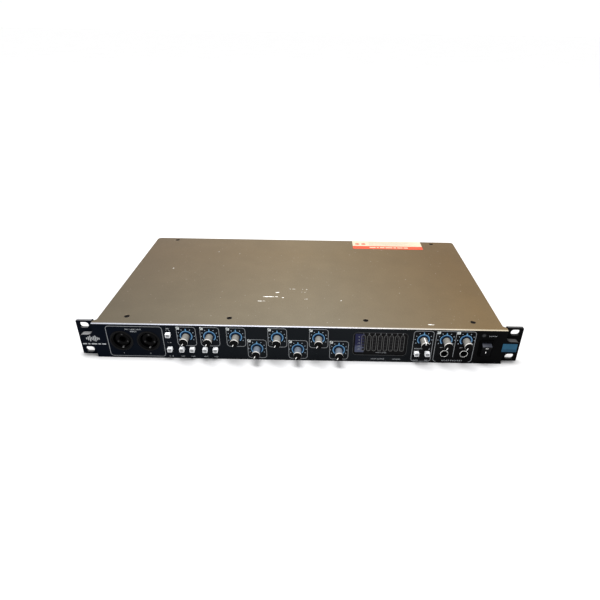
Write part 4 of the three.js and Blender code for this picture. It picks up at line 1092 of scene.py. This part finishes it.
# coaxial pair: bright shells round coloured insulators
def makeCoax():
    x, z = nodeCentre("coax_jacks")
    shell = [(4.3, -0.05), (4.3, -0.8), (4.15, -1.0), (4.15, -7.6), (3.95, -8.2), (3.3, -8.25), (3.2, -7.9),
             (3.2, -0.05)]
    plug = [(3.19, -0.5), (3.19, -7.2), (2.9, -7.5), (1.75, -7.5), (1.6, -7.2), (1.6, 0.7), (0.2, 0.7)]
    parts = [(boxed(14, 36, 0.6, [(0.4, 15.2), (0, 14.8), (0, 1.7), (0.3, 1.5)], 4), "blackPlastic")]
    for row, finish in ((12.5, "orangePlastic"), (31.0, "blackPlastic")):
        parts.append((moved(turnedRing(shell, 40), 0, 0, row - z), "brass"))
        parts.append((moved(turned([(1.0, 0.9), (3.19, 0.9)] + plug, 40), 0, 0, row - z), finish))
    makePiece("coaxPair", onRearWall(parts, x, z), replaced=["coax_jacks"])


# optical pair: square ports with a recessed mouth and a small round emitter on its floor
def makeOptical():
    x, z = nodeCentre("optical_ports")
    parts = []
    for row, middle in ((13.0, -9.0), (31.0, 9.0)):
        hole = roundedLoop(9.8, 9.8, 0.7, 5) + np.array([0, row - z - middle])
        parts.append((moved(boredBlock(14, 17.9, 14.8, hole, 8.6), 0, 0, middle), "blackPlastic"))
        port = boxed(10, 10, 0.8, [(0.5, 9), (0, 8.8), (0, -0.3), (0.2, -0.5), (1.5, -0.5), (1.9, -0.2),
                                   (1.9, 7.3), (2.6, 7.3)], 5)
        parts.append((moved(port, 0, 0, row - z), "blackPlastic"))
        parts.append((moved(turned([(0.3, 7.3), (1.1, 7.3), (1.1, 5.5), (0.8, 5.3)], 24), 0, 0, row - z),
                      "ledLens"))
    makePiece("opticalPair", onRearWall(parts, x, z), replaced=["optical_ports"])


# round data sockets: rim, ring gap, insert with five pits on an arc
def makeMidi():
    body = [(7.0, 14), (7.6, 14), (7.6, 0), (8.3, -0.05), (8.3, -0.3), (8.1, -0.5), (7.3, -0.5),
            (7.0, -0.2), (7.0, 7), (5.7, 7), (5.7, 0.9), (5.4, 0.6), (0.3, 0.6)]
    for node in ("midi_in_socket", "midi_out_socket"):
        x, z = nodeCentre(node)
        parts = [(turned(body, 56), "blackPlastic")]
        parts.append((turnedRing([(6.9, 6.5), (6.9, -0.1), (6.7, -0.1), (6.7, 6.5)], 56), "nickel"))
        for angle in range(-90, 91, 45):
            across, up = 3.4 * np.sin(np.radians(angle)), 3.4 * np.cos(np.radians(angle))
            sleeve = turnedRing([(0.85, 0.7), (0.85, 0.5), (0.6, 0.5), (0.6, 0.7)], 16)
            parts.append((moved(sleeve, across, 0, up - 0.6), "nickel"))
            # painted shade: a dark disc closes each pit
            pit = turned([(0.1, 0.58), (0.59, 0.58), (0.59, 0.54), (0.1, 0.54)], 12)
            parts.append((moved(pit, across, 0, up - 0.6), "darkInk"))
        makePiece(node + "_ring", onRearWall(parts, x, z), replaced=[node])


# six-contact data port: folded shell, dark tongue, bright contacts
def makeDataPort():
    x, z = nodeCentre("data_port")
    shell = boxed(11.9, 6.9, 1.6, [(1.0, 14), (0, 13.8), (0, -0.3), (0.15, -0.5), (0.5, -0.5),
                                   (0.65, -0.3), (0.65, 6.5), (1.2, 6.5)], 5)
    tongue = boxed(6.9, 2.4, 0.3, [(0, 6.5), (0, 0.7), (0.25, 0.5)], 4)
    parts = [(shell, "nickel"), (tongue, "socketBlack")]
    for index in range(6):
        side = 1 if index % 2 else -1
        contact = boxed(0.8, 0.12, 0.03, [(0, 6.4), (0, 0.9), (0.03, 0.8)], 2)
        parts.append((moved(contact, -2.1 + (index // 2) * 2.1, 0, side * 1.25), "brass"))
    makePiece("dataPortShell", onRearWall(parts, x, z), replaced=["data_port"])


# mains inlet: flange with a chamfered mouth, three blades
def makeInlet():
    x, z = nodeCentre("mains_inlet")
    width, height = faceSize("mains_inlet")
    face = rearWall - depthOf("mains_inlet")[1]
    wallX = (width - 24) / 2
    body = boxed(width, height, 2.0, [
        (3.5, face + 22), (2.2, face + 21.6), (2.2, -0.3), (0, -0.3), (0, face + 0.5), (0.2, face + 0.15),
        (0.5, face), (wallX - 0.4, face), (wallX, face + 0.4), (wallX, face + 17),
        (wallX + 1.5, face + 17)], 5)
    parts = [(body, "blackPlastic")]
    for across, up in ((7, -2.5), (-7, -2.5), (0, 3.5)):
        blade = boxed(2, 4, 0.3, [(0, face + 17.2), (0, face + 2.2), (0.35, face + 1.5)], 4)
        parts.append((moved(blade, across, 0, up), "nickel"))
    makePiece("inletBody", onRearWall(parts, x, z), replaced=["mains_inlet"])


# numbers and plain words beside the rear sockets
def makeRearPrint():
    size = {"letters": 1.7, "overSocket": 15.6, "overOuts": 39.4, "underOuts": 3.2, "overRound": 33}
    words = [("LINE OUT", 8, 21.8, 1.0), ("IN", nodeCentre("midi_in_socket")[0], size["overRound"], 1.0),
             ("OUT", nodeCentre("midi_out_socket")[0], size["overRound"], 1.0)]
    for index in range(3, 9):
        x, z = nodeCentre(f"rear_combo_jack_{index}")
        words.append((str(index), x, z + size["overSocket"], 1.3))
    for index in range(1, 6):
        x = nodeCentre(f"line_out_jacks_{index}")[0]
        words += [(str(2 * index - 1), x, size["overOuts"], 0.9), (str(2 * index), x, size["underOuts"], 0.9)]
    makePiece("rearPrint", [(moved(reversedPart(lettering(text, size["letters"] * share)), x, rearWall, z),
                             "whitePrint") for text, x, z, share in words])


makeLineOuts()
makeCoax()
makeOptical()
makeMidi()
makeDataPort()
makeInlet()
makeRearPrint()
print("rear wall finished")


# stage: a pale floor without an edge in sight, the camera and soft lights
def makeStage():
    half = 30.0  # metres
    mesh = bpy.data.meshes.new("paperFloor")
    mesh.from_pydata([(-half, -half, 0), (half, -half, 0), (half, half, 0), (-half, half, 0)], [],
                     [(0, 1, 2, 3)])
    mesh.materials.append(finishes["floorPaper"])
    paper = bpy.data.objects.new("paperFloor", mesh)
    bpy.context.scene.collection.objects.link(paper)


# camera: its place in millimetres from the panel's face, and its turn as pitch, yaw and roll in degrees
def makeCamera():
    view = {"place": (17.16, -428.84, 322.34), "pitch": 29.575, "yaw": -0.182, "roll": 0.9166, "lens": 28.83,
            "shiftX": -0.02428, "shiftY": -0.00253}
    pitch, yaw, roll = (np.radians(view[key]) for key in ("pitch", "yaw", "roll"))
    forward = np.array([np.sin(yaw) * np.cos(pitch), np.cos(yaw) * np.cos(pitch), -np.sin(pitch)])
    level = np.array([np.cos(yaw), -np.sin(yaw), 0])
    upright = np.cross(level, forward)
    right = level * np.cos(roll) + upright * np.sin(roll)
    up = upright * np.cos(roll) - level * np.sin(roll)
    data = bpy.data.cameras.new("camera")
    data.lens = view["lens"]
    data.sensor_width = 36
    data.shift_x = view["shiftX"]
    data.shift_y = view["shiftY"]
    data.clip_start = 0.01
    camera = bpy.data.objects.new("camera", data)
    turn = Matrix(np.stack([right, up, -forward], 1).tolist()).to_4x4()
    place = Vector(view["place"]) + Vector((0, panelY, 0))
    camera.matrix_world = Matrix.Translation(place / 1000) @ turn
    bpy.context.scene.collection.objects.link(camera)
    bpy.context.scene.camera = camera


# lamps: place and target in metres, width and length, watts, colour
lamps = {"overhead": ((-0.05, -0.1, 1.3), (0, 0, 0), (0.9, 0.5), 26, (1, 1, 1)),
         "sideWarm": ((1.4, 0.9, 0.9), (0.1, 0.05, 0), (0.9, 0.7), 4, (1.0, 0.86, 0.66))}


def makeLight(name, place, target, size, power, colour):
    data = bpy.data.lights.new(name, "AREA")
    data.shape = "RECTANGLE"
    data.size, data.size_y = size
    data.energy = power
    data.color = colour
    light = bpy.data.objects.new(name, data)
    light.location = place
    light.rotation_euler = (Vector(target) - Vector(place)).to_track_quat("-Z", "Y").to_euler()
    bpy.context.scene.collection.objects.link(light)


def makeWorld():
    glow = {"colour": (1.0, 1.0, 1.0, 1), "strength": 1.03}
    world = bpy.data.worlds.new("paleRoom")
    bpy.context.scene.world = world
    world.use_nodes = True
    background = world.node_tree.nodes["Background"]
    background.inputs["Color"].default_value = glow["colour"]
    background.inputs["Strength"].default_value = glow["strength"]


makeStage()
makeCamera()
makeWorld()
for name, lamp in lamps.items():
    makeLight(name, *lamp)
bpy.context.scene.view_settings.view_transform = "Standard"
print("stage set")
